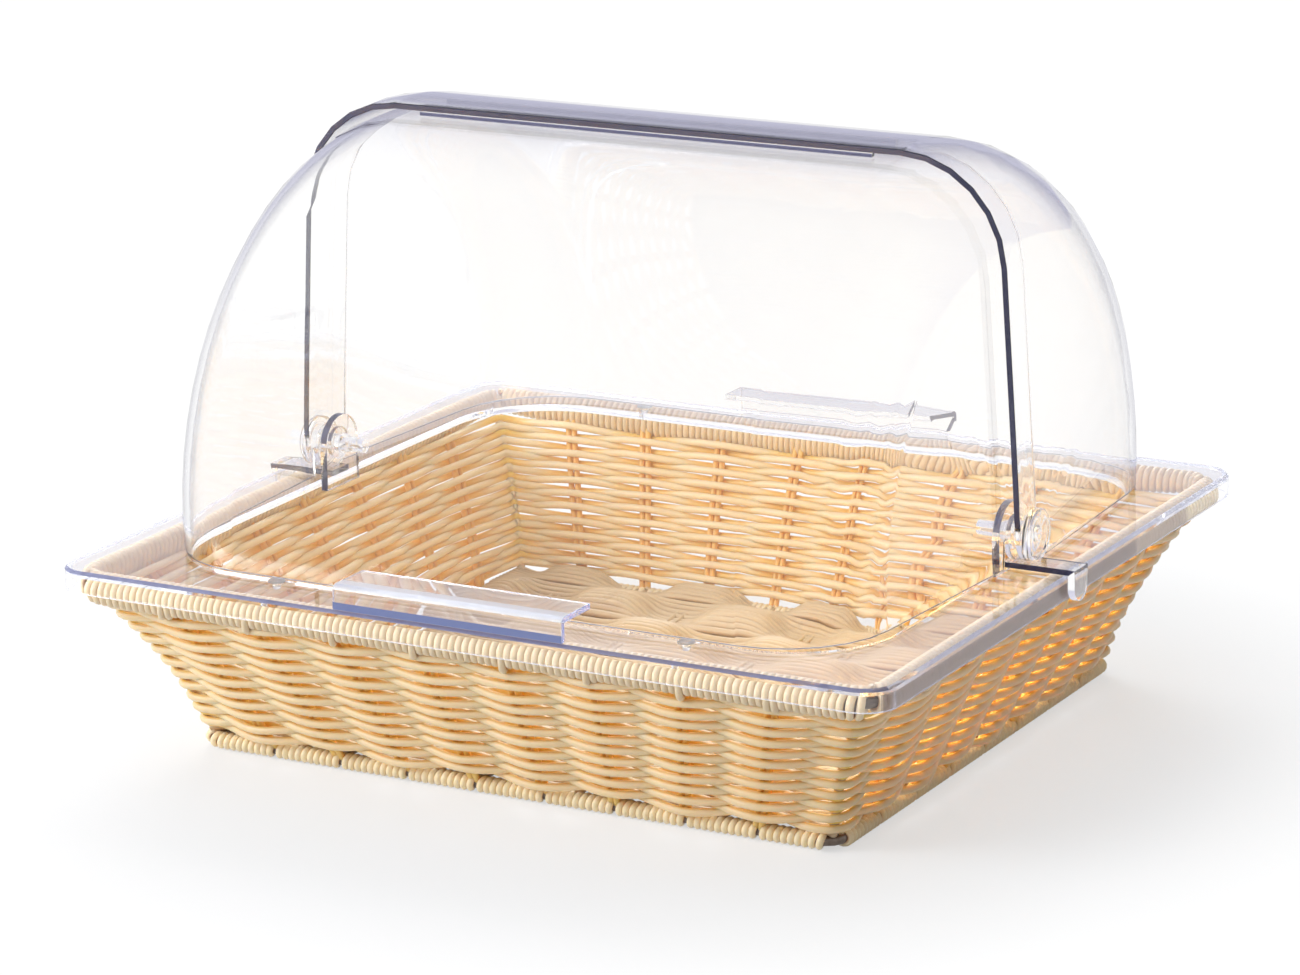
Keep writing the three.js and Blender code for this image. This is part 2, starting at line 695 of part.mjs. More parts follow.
// Snap pin on the right: a round head outside both shells, and split prongs inside the ear
function snapPin() {
  const seat = shellHalfWidth + seatGap;
  const tip = earInner - pinTipLength;
  const barb = earInner - seatGap;
  const face = seat + pinHeadThickness;
  const grooveInner = pinGrooveRadius - pinGrooveWidth / 2;
  const grooveOuter = pinGrooveRadius + pinGrooveWidth / 2;
  const profile = [
    [0, tip], [pinRadius, tip], [pinRadius, barb - pinBarbLength - pinBarbLength / 2],
    [pinBarbRadius, barb - pinBarbLength / 2], [pinBarbRadius, barb], [pinRadius, barb],
    [pinRadius, seat], [pinHeadRadius, seat], [pinHeadRadius, face - pinGrooveDepth],
    [pinHeadRadius - pinGrooveDepth, face], [grooveOuter, face],
    [grooveOuter, face - pinGrooveDepth], [grooveInner, face - pinGrooveDepth],
    [grooveInner, face], [0, face],
  ];
  const slot = box(
    [tip - cutOverrun, -pinHeadRadius, axisHeight - pinSlot / 2],
    [earInner, pinHeadRadius, axisHeight + pinSlot / 2],
  );
  return turnedProfile(profile, holePieces + cornerPieces)
    .rotate([0, 90, 0])
    .translate([0, 0, axisHeight])
    .subtract(slot);
}

// Washer between the two shells, round the pin
function washer() {
  const start = frontShellHalfWidth + seatGap;
  const end = shellHalfWidth - shellThickness - seatGap;
  return rodAlongX(washerRadius, start, end, 0, axisHeight).subtract(
    rodAlongX(pinRadius + pinClearance, start - cutOverrun, end + cutOverrun, 0, axisHeight),
  );
}

// Assembly

const display = new THREE.Group();
const basket = new THREE.Group();
const cover = new THREE.Group();
display.add(basket, cover);

addMesh(basket, 'wire_frame', wireFrame(), steel);
for (const [side, solid] of Object.entries(rimWindings())) {
  addMesh(basket, `rim_winding_${side}`, solid, woven);
}
for (const [side, solid] of Object.entries(footWindings())) {
  addMesh(basket, `foot_winding_${side}`, solid, woven);
}
for (const [side, solid] of Object.entries(wallSides())) {
  addMesh(basket, `woven_wall_${side}`, solid, woven);
}
addMesh(basket, 'woven_floor', floorWeave(), woven);

addMesh(cover, 'cover_frame', coverFrame(), clear);
for (const { name, x, y } of bumperPlaces) {
  addMesh(cover, name, bumper(x, y), frosted);
}
for (const [name, direction] of [['left', -1], ['right', 1]]) {
  const turned = (solid) => (direction > 0 ? solid : solid.rotate([0, 0, 180]));
  addMesh(cover, `hinge_bracket_${name}`, turned(bracket()), clear);
  addMesh(cover, `hinge_pin_${name}`, turned(snapPin()), clear);
  addMesh(cover, `hinge_washer_${name}`, turned(washer()), clear);
}

const frontShell = rollShell(frontShellRadius, frontShellHalfWidth, frontShellCorner, false);
addMesh(cover, 'front_shell', frontShell, clear);
addMesh(cover, 'front_grip', grip(frontShellRadius, false), clear);
addMesh(cover, 'front_stop_rib', stopRib(overlapHalf, frontShellRadius, true), clear);

const backShell = rollShell(shellRadius, shellHalfWidth, shellCorner, true);
addMesh(cover, 'back_shell', backShell, clear);
addMesh(cover, 'back_grip', grip(shellRadius, true), clear);
addMesh(cover, 'back_stop_rib', stopRib(-overlapHalf, shellRadius - shellThickness, false), clear);

export default display;
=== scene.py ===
# %% [markdown]
# A woven bread basket with a clear roll-top cover.
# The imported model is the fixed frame: each part has its size and place there. The clear plastic
# parts keep their shapes and get finer edges and a better material. The woven walls, the floor and
# the windings are plain solids in it. A picture of a weave could be laid over them, but no flat
# surface shows the light between the strands, so real strands take their place.

# %% Load the frame
import json
import math

import bmesh
import bpy
import numpy as np
from mathutils import Matrix, Vector

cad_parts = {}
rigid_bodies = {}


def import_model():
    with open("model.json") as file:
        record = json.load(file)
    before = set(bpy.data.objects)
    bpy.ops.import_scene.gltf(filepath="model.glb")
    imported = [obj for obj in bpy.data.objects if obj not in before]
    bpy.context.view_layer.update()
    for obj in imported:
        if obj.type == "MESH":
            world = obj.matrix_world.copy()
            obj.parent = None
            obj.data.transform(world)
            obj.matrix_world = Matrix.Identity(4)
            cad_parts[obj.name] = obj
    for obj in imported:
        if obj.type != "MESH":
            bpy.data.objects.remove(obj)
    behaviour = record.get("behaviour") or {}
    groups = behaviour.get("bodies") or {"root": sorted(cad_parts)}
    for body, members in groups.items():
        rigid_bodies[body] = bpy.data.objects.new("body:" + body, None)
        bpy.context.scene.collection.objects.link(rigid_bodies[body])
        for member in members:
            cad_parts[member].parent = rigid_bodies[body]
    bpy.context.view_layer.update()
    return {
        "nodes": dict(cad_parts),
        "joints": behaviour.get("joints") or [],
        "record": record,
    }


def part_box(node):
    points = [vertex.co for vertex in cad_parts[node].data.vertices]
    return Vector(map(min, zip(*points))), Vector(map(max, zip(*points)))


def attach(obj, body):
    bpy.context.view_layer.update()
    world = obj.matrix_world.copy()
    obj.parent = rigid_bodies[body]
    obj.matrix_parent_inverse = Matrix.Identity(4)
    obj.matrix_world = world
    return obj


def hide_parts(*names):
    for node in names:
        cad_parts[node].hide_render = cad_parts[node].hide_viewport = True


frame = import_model()
nodes = frame["nodes"]


# %% [markdown]
# The real basket is woven on two steel hoops, one in the rim and one in the foot. Its walls follow
# a straight line from one to the other, which leans outward as it rises. The hoops' sizes
# could be typed in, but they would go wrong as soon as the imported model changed, so they are read
# from the boxes of the windings round them.

# %% Lines of the basket
MM = 0.001
rim_low, rim_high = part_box("rim_winding_front")
foot_low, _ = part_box("foot_winding_front")
rim_side_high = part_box("rim_winding_right")[1]
foot_side_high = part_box("foot_winding_right")[1]

RIM_WIDTH = 8 * MM
RIM_HEIGHT = rim_high.z - rim_low.z
FOOT_WIDTH = 7.5 * MM
RIM_AXIS = (rim_high.z + rim_low.z) / 2
FOOT_AXIS = 3.5 * MM
RIM_HALF = np.array([rim_side_high.x, -rim_low.y]) - RIM_WIDTH / 2
FOOT_HALF = np.array([foot_side_high.x, -foot_low.y]) - FOOT_WIDTH / 2
RIM_CORNER = 11 * MM
FOOT_CORNER = 7.25 * MM
print("rim line", RIM_HALF, "foot line", FOOT_HALF)

# %% [markdown]
# A weaver counts from stake to stake. The four sides could be built one by one, but then the rows
# would have to be joined at the corners. Here a place on the wall has two numbers that hold right
# round the basket: how far round it is, counted in bays between stakes, and how high it is. Going
# round from the front right corner there are 8 bays on the right side, 9 on the back, 8 on the
# left and 9 on the front, so a whole number is always a stake or a post. Each side begins at the
# corner of the same number: the left side at the back left, for example.

# %% Places on the wall
BACK, LEFT, FRONT = 1, 2, 3
BAYS = np.array([8, 9, 8, 9])
CORNERS = np.concatenate([[0], np.cumsum(BAYS)])
ALL_BAYS = int(CORNERS[-1])


def around(bay, half_x, half_y, corner):
    """Points and outward directions round a rectangle with round corners, at the given bays."""
    bay = np.mod(np.asarray(bay, float), ALL_BAYS)
    side = np.clip(np.searchsorted(CORNERS, bay, side="right") - 1, 0, 3)
    share = (bay - CORNERS[side]) / BAYS[side]
    straight = np.where(side % 2 == 0, 2 * (half_y - corner), 2 * (half_x - corner))
    arc = corner * math.pi / 4
    run = share * (straight + 2 * arc)
    first = np.minimum(run, arc)
    last = np.maximum(run - arc - straight, 0)
    middle = np.clip(run - arc, 0, straight)
    angle = -math.pi / 4 + (first + last) / corner + side * math.pi / 2
    out = np.stack([np.cos(angle), np.sin(angle)], -1)
    turn = side * math.pi / 2
    # The centre of the arc that the point belongs to, in the frame of its own side
    deep = np.where(side % 2 == 0, half_x, half_y) - corner
    wide = np.where(side % 2 == 0, half_y, half_x) - corner
    local_x = deep
    local_y = -wide + middle
    centre = np.stack([
        np.cos(turn) * local_x - np.sin(turn) * local_y,
        np.sin(turn) * local_x + np.cos(turn) * local_y,
    ], -1)
    return centre + np.expand_dims(corner * np.ones_like(bay), -1) * out, out


print("bays round the basket", ALL_BAYS, "corners at", CORNERS)

# %% [markdown]
# Strands under tension pull a woven wall inward round its corners, most of all half-way up. The
# wall leans as well, so a strand that passes outside a stake is moved out along the wall's own
# slanted direction and not straight out. One function does both for all strands of the wall.

# %% Points on the wall
CORNER_PULL = 6 * MM
CORNER_PULL_REACH = 0.8


def on_wall(bay, height, out_by):
    """Points at a bay and a height, moved out along the wall's own slanted outward direction."""
    bay, height, out_by = np.broadcast_arrays(
        np.asarray(bay, float), np.asarray(height, float), np.asarray(out_by, float)
    )
    share = (height - FOOT_AXIS) / (RIM_AXIS - FOOT_AXIS)
    half = FOOT_HALF + share[..., None] * (RIM_HALF - FOOT_HALF)
    corner = FOOT_CORNER + share * (RIM_CORNER - FOOT_CORNER)
    place, out = around(bay, half[..., 0], half[..., 1], corner)
    lean = np.abs(out) @ ((RIM_HALF - FOOT_HALF) / (RIM_AXIS - FOOT_AXIS))
    slant = np.arctan(lean)
    normal = np.stack([
        out[..., 0] * np.cos(slant), out[..., 1] * np.cos(slant), -np.sin(slant),
    ], -1)
    from_corner = np.min(np.abs(np.mod(bay, ALL_BAYS)[..., None] - CORNERS), axis=-1)
    halfway = np.sin(math.pi * np.clip(share, 0, 1))
    pull = CORNER_PULL * halfway * np.exp(-(from_corner / CORNER_PULL_REACH) ** 2)
    place = place - pull[..., None] * out
    point = np.stack([place[..., 0], place[..., 1], height], -1)
    return point + out_by[..., None] * normal, normal


# %% [markdown]
# Every strand is a round tube along a row of points. Curve objects with a bevel could make it, but
# they can't hand numbers of their own to the material. So one function makes all the tubes of a
# piece as a mesh, and stores on each point how far along the strand it is, how far round, and
# which strand it is on. The material turns these three numbers into streaks that run along the
# strand. A fourth number says how exposed the point is: about 1 on the open side of a strand and
# about 0 where it lies against others. There the material mixes in a painted colour: painted shade
# where little light gets in, and a painted warm glow for light that comes out warmer than it went in.

# %% Tubes
CONE_LENGTH = 0.5
CONE_TOP = 0.55
LEAST_EXPOSED, EXPOSED_AT_SIDES, EXPOSED_IF_OPEN = 0.25, 0.3, 0.6


def tube_directions(points, across, closed):
    """Unit directions along a route and two across it, all at right angles."""
    if closed:
        tangent = np.roll(points, -1, 0) - np.roll(points, 1, 0)
    else:
        tangent = np.gradient(points, axis=0)
    tangent /= np.linalg.norm(tangent, axis=1, keepdims=True)
    first = across - np.sum(across * tangent, 1, keepdims=True) * tangent
    first /= np.linalg.norm(first, axis=1, keepdims=True)
    return tangent, first[:, None], np.cross(tangent, first)[:, None]


def tube_coords(along, turn, number):
    """How far along the strand, how far round it, and which strand it is."""
    return np.stack(np.broadcast_arrays(along, turn / (2 * math.pi), float(number)), -1)


def tube_mesh(name, routes, radius, sides):
    """One mesh of many tubes. A route is (points, directions across, closed, openness)."""
    turn = np.arange(sides) / sides * 2 * math.pi
    cosine, sine = np.cos(turn), np.sin(turn)
    here = np.arange(sides)
    next_one = (here + 1) % sides
    all_points, all_coords, all_exposed, all_faces, end_faces = [], [], [], [], []
    base = 0
    for number, (points, across, closed, openness) in enumerate(routes):
        count = len(points)
        tangent, first, second = tube_directions(points, across, closed)
        ring = cosine[None, :, None] * first + sine[None, :, None] * second
        # Painted shade and glow: where a strand lies against others its exposed number is low, and the
        # material mixes its recess colour in there.
        side = np.broadcast_to(openness, count)[:, None]
        exposed = LEAST_EXPOSED + EXPOSED_AT_SIDES * np.abs(cosine[None])
        exposed = exposed + EXPOSED_IF_OPEN * side * cosine[None]
        steps = np.linalg.norm(np.diff(points, axis=0), axis=1)
        along = np.concatenate([[0], np.cumsum(steps)])
        near = np.arange(count if closed else count - 1)[:, None] * sides
        far = (near + sides) % (count * sides)
        faces = base + np.stack(
            [near + here, far + here, far + next_one, near + next_one], -1,
        ).reshape(-1, 4)
        all_points.append((points[:, None] + radius * ring).reshape(-1, 3))
        all_coords.append(tube_coords(along[:, None], turn[None], number).reshape(-1, 3))
        all_exposed.append(exposed.ravel())
        all_faces.append(faces[:, ::-1])
        start = base + count * sides
        # A short cone with a flat top closes each end
        for end, sign in () if closed else ((0, -1), (count - 1, 1)):
            tip = points[end] + sign * tangent[end] * radius * CONE_LENGTH
            all_points.append(tip + CONE_TOP * radius * ring[end])
            all_coords.append(tube_coords(along[end], turn, number))
            all_exposed.append(exposed[end])
            edge = base + end * sides
            quads = np.stack([edge + here, start + here, start + next_one, edge + next_one], -1)
            all_faces.append(quads[:, ::-sign])
            end_faces.append((start + here)[::-sign].tolist())
            start += sides
        base = start
    mesh = bpy.data.meshes.new(name)
    faces = np.concatenate(all_faces).tolist() + end_faces
    mesh.from_pydata(np.concatenate(all_points).tolist(), [], faces)
    mesh.validate()
    mesh.polygons.foreach_set("use_smooth", np.ones(len(mesh.polygons), bool))
    store = mesh.attributes.new("strand", "FLOAT_VECTOR", "POINT")
    store.data.foreach_set("vector", np.concatenate(all_coords).astype(np.float32).ravel())
    store = mesh.attributes.new("exposed", "FLOAT", "POINT")
    store.data.foreach_set("value", np.concatenate(all_exposed).astype(np.float32))
    mesh.update()
    return mesh


# %% [markdown]
# Each piece says which body of the basket it moves with, which finish it has and which packed
# parts it stands for. All strands belong to the basket, so a second function fills that in.

# %% Adding pieces
def add_piece(name, mesh, body, slot, material, *replaced):
    piece = bpy.data.objects.new(name, mesh)
    bpy.context.scene.collection.objects.link(piece)
    piece.data.materials.append(material)
    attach(piece, body)
    if replaced:
        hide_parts(*replaced)
    print(f"{name}: {len(mesh.polygons)} faces")


def add_strands(name, routes, radius, material, *replaced, sides=10, slot="woven_strand"):
    """Adds tubes to the basket as one piece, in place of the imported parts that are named."""
    add_piece(name, tube_mesh(name, routes, radius, sides), "basket", slot, material, *replaced)


# %% [markdown]
# Materials are shader nodes, and made by hand each node takes several lines. Small helpers keep
# them readable. The first adds a node, sets the sockets that are given as numbers and links the
# ones that are given as other nodes' outputs.

# %% Node helpers
MIX_FIRST, MIX_SECOND, MIX_RESULT = 6, 7, 2
WHITE = (1.0, 1.0, 1.0, 1.0)
PLASTIC_IOR = 1.49


def add_node(tree, kind, values=None, **settings):
    node = tree.nodes.new(kind)
    for name, value in settings.items():
        setattr(node, name, value)
    for socket, value in (values or {}).items():
        target = node.inputs[socket]
        if isinstance(value, bpy.types.NodeSocket):
            tree.links.new(value, target)
        else:
            target.default_value = value
    return node


def mix_colours(tree, amount, first, second):
    node = add_node(tree, "ShaderNodeMix", {
        0: amount, MIX_FIRST: first, MIX_SECOND: second,
    }, data_type="RGBA")
    return node.outputs[MIX_RESULT]


def mix_shaders(tree, amount, first, second):
    return add_node(tree, "ShaderNodeMixShader", {0: amount, 1: first, 2: second}).outputs[0]


def calculate(tree, operation, first, second, clamp=False):
    node = add_node(tree, "ShaderNodeMath", {0: first, 1: second}, operation=operation)
    node.use_clamp = clamp
    return node.outputs[0]


def spread(tree, value, low=0.0, high=1.0, bottom=0.0, top=1.0, smooth=False):
    """Turns the values from low to high into values from bottom to top."""
    node = add_node(tree, "ShaderNodeMapRange", {
        "Value": value, "From Min": low, "From Max": high, "To Min": bottom, "To Max": top,
    }, interpolation_type="SMOOTHSTEP" if smooth else "LINEAR")
    return node.outputs[0]


def linear(red, green, blue):
    """A colour as a paint program shows it, turned into the linear values that shaders use."""
    return tuple((c / 255 / 12.92) if c <= 10 else ((c / 255 + 0.055) / 1.055) ** 2.4
                 for c in (red, green, blue)) + (1.0,)


def empty_material(name):
    material = bpy.data.materials.new(name)
    material.use_nodes = True
    material.node_tree.nodes.clear()
    return material, material.node_tree


# %% [markdown]
# The strands are extruded plastic made to look like peeled cane: creamy, a little waxy, with faint
# streaks and slow changes of tone along each strand. A picture of cane would repeat itself, so
# noise makes the streaks, stretched along the strand. They are one node group, used by the wall,
# the windings and the floor with their own amounts.

# %% Cane streaks and painted shade
STREAK_SCALE = (14.0, 7.0, 3.7)
TONE_SCALE = (9.0, 0.0, 5.3)
STREAK_RANGE = (0.35, 0.75)
TONE_RANGE = (0.3, 0.75)
RECESS_RANGE = (-0.05, 0.62)


def build_cane_streaks_and_shade():
    group = bpy.data.node_groups.new("cane_streaks_and_shade", "ShaderNodeTree")
    colour, number = "NodeSocketColor", "NodeSocketFloat"
    for way, name, kind in (
        ("INPUT", "Light", colour), ("INPUT", "Dark", colour), ("INPUT", "Recess shade and glow", colour),
        ("INPUT", "Streaks", number), ("INPUT", "Tone", number),
        ("OUTPUT", "Color", colour), ("OUTPUT", "Roughness", number), ("OUTPUT", "Height", number),
    ):
        group.interface.new_socket(name, in_out=way, socket_type=kind)
    inputs = group.nodes.new("NodeGroupInput").outputs
    place = add_node(group, "ShaderNodeAttribute", attribute_name="strand").outputs["Vector"]
    fine, slow = (
        add_node(group, "ShaderNodeVectorMath", {0: place, 1: scale}, operation="MULTIPLY")
        for scale in (STREAK_SCALE, TONE_SCALE)
    )
    streak = add_node(group, "ShaderNodeTexNoise", {
        "Vector": fine.outputs[0], "Scale": 1.0, "Detail": 3.0, "Roughness": 0.6,
    }).outputs[0]
    tone = add_node(group, "ShaderNodeTexNoise", {
        "Vector": slow.outputs[0], "Scale": 1.0, "Detail": 2.0,
    }).outputs[0]
    streaks = calculate(group, "MULTIPLY", spread(group, streak, *STREAK_RANGE), inputs["Streaks"])
    tones = calculate(group, "MULTIPLY", spread(group, tone, *TONE_RANGE), inputs["Tone"])
    amount = calculate(group, "ADD", streaks, tones, clamp=True)
    mixed = mix_colours(group, amount, inputs["Light"], inputs["Dark"])
    # Painted shade and glow: the hidden sides of a strand are mixed towards the recess colour.
    exposed = add_node(group, "ShaderNodeAttribute", attribute_name="exposed").outputs["Fac"]
    open_part = spread(group, exposed, *RECESS_RANGE, smooth=True)
    add_node(group, "NodeGroupOutput", {
        "Color": mix_colours(group, open_part, inputs["Recess shade and glow"], mixed),
        "Roughness": spread(group, streak, bottom=0.34, top=0.5),
        "Height": streak,
    })
    return group


cane_streaks_and_shade = build_cane_streaks_and_shade()
print("cane streaks:", len(cane_streaks_and_shade.nodes), "nodes")

# %% [markdown]
# Light goes a few millimetres into such a strand and comes out again, red most easily. That is
# subsurface scattering, and it makes the wall glow where a strand is lit from behind. The stakes
# lie deeper, and their colours are painted darker and more orange as shade. The foot's turns are
# painted pale, for the light that the table throws up onto them, with painted shade in the dark
# lines between them. The floor is greyer and less waxy than the wall.

# %% Cane
CANE_DEPTH = 4 * MM
CANE_DEPTH_COLOUR = (1.0, 0.78, 0.46)
CANE_BUMP = 0.12
CANE_BUMP_DEPTH = 0.3 * MM


def cane_material(name, light, dark, recess_shade_glow, streaks, tone, glow):
    """light and dark are the streaks' colours; the third is shade and glow painted on hidden sides."""
    material, tree = empty_material(name)
    streak = add_node(tree, "ShaderNodeGroup", {
        "Light": linear(*light), "Dark": linear(*dark), "Recess shade and glow": linear(*recess_shade_glow),
        "Streaks": streaks, "Tone": tone,
    }, node_tree=cane_streaks_and_shade).outputs
    bump = add_node(tree, "ShaderNodeBump", {
        "Strength": CANE_BUMP, "Distance": CANE_BUMP_DEPTH, "Height": streak["Height"],
    })
    shader = add_node(tree, "ShaderNodeBsdfPrincipled", {
        "Base Color": streak["Color"], "Roughness": streak["Roughness"], "IOR": PLASTIC_IOR,
        "Normal": bump.outputs[0], "Subsurface Weight": glow, "Subsurface Scale": CANE_DEPTH,
        "Subsurface Radius": CANE_DEPTH_COLOUR,
    })
    add_node(tree, "ShaderNodeOutputMaterial", {"Surface": shader.outputs[0]})
    return material


# The third colour of each is painted shade and glow for the hidden sides of its strands.
cane = cane_material(
    "cane_strand", (238, 216, 178), (224, 190, 136), (242, 200, 106),
    streaks=0.22, tone=0.22, glow=0.6,
)
# Painted shade: all of a stake's colours are darker and more orange, as the stakes lie deep.
cane_stake = cane_material(
    "cane_stake", (250, 208, 130), (240, 186, 100), (236, 170, 76),
    streaks=0.25, tone=0.25, glow=0.6,
)
cane_bound = cane_material(
    "cane_bound", (232, 211, 179), (216, 187, 146), (178, 124, 76),
    streaks=0.2, tone=0.2, glow=0.4,
)
# Painted light: the foot's colours are paler than the rim's, for light thrown up by the table.
cane_foot = cane_material(
    "cane_foot", (255, 234, 198), (252, 214, 160), (176, 106, 56),
    streaks=0.2, tone=0.2, glow=0.4,
)
cane_floor = cane_material(
    "cane_floor", (220, 196, 158), (198, 162, 112), (170, 126, 78),
    streaks=0.36, tone=0.3, glow=0.15,
)
cane_materials = (cane, cane_stake, cane_bound, cane_foot, cane_floor)
print("cane:", [material.name for material in cane_materials])

# %% [markdown]
# The wall is plain weave: each row runs right round the basket and passes outside one stake and
# inside the next, and the row above does the opposite. The number of stakes is even, so every row
# is a closed loop. The strands could be pressed together by a simulation, but a cosine of the bay
# number gives their distance from the middle of the wall just as well. Slow waves in height and
# depth make the rows as uneven as hand work.

# %% Wall strands
WALL_ROWS = 22
WALL_RADIUS = 1.6 * MM
WALL_WAVE = 2.9 * MM
WALL_LOW = 9.8 * MM
WALL_HIGH = rim_low.z - 2.1 * MM
STEPS_PER_BAY = 12
CORNER_HOLD = 0.32
CORNER_INWARD, CORNER_SHRINK, CORNER_INSIDE = 0.1, 0.65, 0.9
HEIGHT_WAVES = ((3, 8, 0.2 * MM), (9, 17, 0.17 * MM), (24, 33, 0.14 * MM))
DEPTH_WAVES = ((5, 12, 0.05), (15, 30, 0.06))
WAVE_START = (0, 6)
SEED = 7
dice = np.random.default_rng(SEED)


def slow_wave(bay, waves):
    """A small smooth change that joins up with itself once round the basket.

    A wave is the least number of its turns round the basket, their upper limit, and its size.
    """
    total = np.zeros_like(bay)
    for low, high, size in waves:
        turns = dice.integers(low, high)
        total += size * np.sin(2 * math.pi * bay * turns / ALL_BAYS + dice.uniform(0, 2 * math.pi))
    return total


def weaver(row):
    bay = np.arange(ALL_BAYS * STEPS_PER_BAY) / STEPS_PER_BAY
    height = WALL_LOW + (WALL_HIGH - WALL_LOW) * row / (WALL_ROWS - 1)
    height = height + slow_wave(bay, HEIGHT_WAVES)
    size = WALL_WAVE * (1 + slow_wave(bay, DEPTH_WAVES))
    side = (-1) ** row * np.cos(math.pi * bay)
    # Round a corner every row passes the post on one side, outside it or, at the back left, inside
    from_corner = np.abs(bay[:, None] - CORNERS[None])
    near = np.exp(-(np.min(from_corner, axis=1) / CORNER_HOLD) ** 2)
    inward = side * (1 - near) - CORNER_INWARD * near
    outside = np.where(side < 0, inward, side * (1 - CORNER_SHRINK * near))
    inside = np.minimum(side, side * (1 - near) - CORNER_INSIDE * near)
    held = np.where(np.argmin(from_corner, axis=1) == LEFT, inside, outside)
    points, normals = on_wall(bay, height, size * held)
    # side also sets how open the strand counts as: where a row passes inside a stake, its outer face
    # gets the painted shade and glow colour.
    return points, normals, True, side


HALF_ROWS = WALL_ROWS // 2
for name, rows, replaced in (
    ("wall_strands_lower", range(HALF_ROWS), ("woven_wall_front", "woven_wall_right")),
    ("wall_strands_upper", range(HALF_ROWS, WALL_ROWS), ("woven_wall_back", "woven_wall_left")),
):
    add_strands(name, [weaver(row) for row in rows], WALL_RADIUS, cane, *replaced)

# %% [markdown]
# The stakes are pairs of thinner strands that stand in the middle of the wall, one pair at each
# whole bay number except at the four corners, where a steel post takes their place. The rows
# pull at them from both sides, so they sway a little instead of standing straight.

# %% Stakes
STAKE_RADIUS = 1.35 * MM
STAKE_STEPS = 30
# How open a stake counts as, which sets how much painted shade and glow it gets.
STAKE_OPENNESS = 0.35
STAKE_SPREAD = 0.04
STAKE_SWAY = 0.004
STAKE_SWAY_LENGTH = 6 * MM
STAKE_BEND = 0.15 * MM
STAKE_BEND_LENGTH = 5 * MM


def stake(bay):
    height = np.linspace(FOOT_AXIS + 1 * MM, RIM_AXIS, STAKE_STEPS)
    place = bay + STAKE_SWAY * np.sin(height / STAKE_SWAY_LENGTH + dice.uniform(*WAVE_START))
    points, normals = on_wall(place, height, STAKE_BEND * np.sin(height / STAKE_BEND_LENGTH))
    return points, normals, False, STAKE_OPENNESS


stake_bays = [k for k in range(ALL_BAYS) if k not in CORNERS]
stake_routes = [stake(k + side * STAKE_SPREAD) for k in stake_bays for side in (-1, 1)]
add_strands("stakes", stake_routes, STAKE_RADIUS, cane_stake, sides=8)

# %% [markdown]
# The rim is one strand wound tightly round the hoop. A grooved tube would need fewer faces, but
# its outline would be smooth, so the spiral is a real one. Where it passes a stake, a turn or two
# reach further down and tie the stake in. The winding stops short of each corner's middle.

# %% Rim winding
STRAND = 1.5 * MM
TURN_STEPS = 14
LINE_STEPS = 200
SIDE_NAMES = ("right", "back", "left", "front")


def winding(start, end, pitch, line, reach_across, reach_up, reach_down):
    """A spiral from one bay to another round a line, which gives points and ways out for bays."""
    fine = np.linspace(start, end, LINE_STEPS)
    places, _ = line(fine)
    run = np.concatenate([[0], np.cumsum(np.linalg.norm(np.diff(places, axis=0), axis=1))])
    turns = max(1, round(run[-1] / pitch))
    phase = np.linspace(0, turns, turns * TURN_STEPS + 1)
    bay = np.interp(phase / turns * run[-1], run, fine)
    middle, out = line(bay)
    angle = 2 * math.pi * phase + math.pi / 2
    outward = np.cos(angle)
    upward = np.sin(angle)
    offset = out * (reach_across * outward)[:, None]
    offset[:, 2] += np.where(upward > 0, reach_up, reach_down(bay)) * upward
    across = out * outward[:, None]
    across[:, 2] = upward
    # Openness 1: the side of each turn that faces the hoop gets the painted shade colour, and the sides
    # next to the other turns some of it, which darkens the lines between turns.
    return middle + offset, across, False, 1.0


def hoop_line(bay, half, corner, height):
    place, out = around(bay, half[0], half[1], corner)
    level = np.full(len(place), height)
    return np.column_stack([place, level]), np.column_stack([out, np.zeros(len(place))])


def rim_line(bay):
    return hoop_line(bay, RIM_HALF, RIM_CORNER, RIM_AXIS)


# %% [markdown]
# The turns don't all reach equally far down. In the photograph the front's are longer than the
# hoop needs, most of all at the left end, and so are those at the back and on the left.

# %% Length of the turns
TIE_DROP = 2.4 * MM
TIE_WIDTH = 0.045
TIE_STEEPNESS = 4
FRONT_DROP = 2.2 * MM
FRONT_LEFT_DROP = 1.0 * MM
FRONT_LEFT_REACH = 2.2
BACK_DROP = 3.2 * MM
LEFT_DROP = 3.0 * MM


def between(bay, side, before=0.0, after=0.0):
    """1 along one side and 0 elsewhere, with a slope one bay long at either end."""
    return np.clip(np.minimum(bay - CORNERS[side] + before, CORNERS[side + 1] - bay + after), 0, 1)


def rim_drop(bay):
    """How far a turn reaches down: further at a stake, in front, near its left end and behind."""
    from_stake = np.abs(bay - np.round(bay))
    tie = np.exp(-(from_stake / TIE_WIDTH) ** TIE_STEEPNESS)
    front = FRONT_DROP * between(bay, FRONT, before=0.4, after=0.9)
    front_left = front + FRONT_LEFT_DROP * np.exp(-np.abs(bay - CORNERS[FRONT]) / FRONT_LEFT_REACH)
    behind = BACK_DROP * between(bay, BACK)
    left = LEFT_DROP * between(bay, LEFT)
    return RIM_HEIGHT / 2 - STRAND + TIE_DROP * tie + front_left + behind + left


RIM_PITCH = 2.95 * MM
CORNER_GAP = 0.05
for side, name in enumerate(SIDE_NAMES):
    route = winding(
        CORNERS[side] + CORNER_GAP, CORNERS[side + 1] - CORNER_GAP, RIM_PITCH, rim_line,
        RIM_WIDTH / 2 - STRAND, RIM_HEIGHT / 2 - STRAND, rim_drop,
    )
    add_strands(f"rim_wrap_{name}", [route], STRAND, cane_bound, f"rim_winding_{name}")

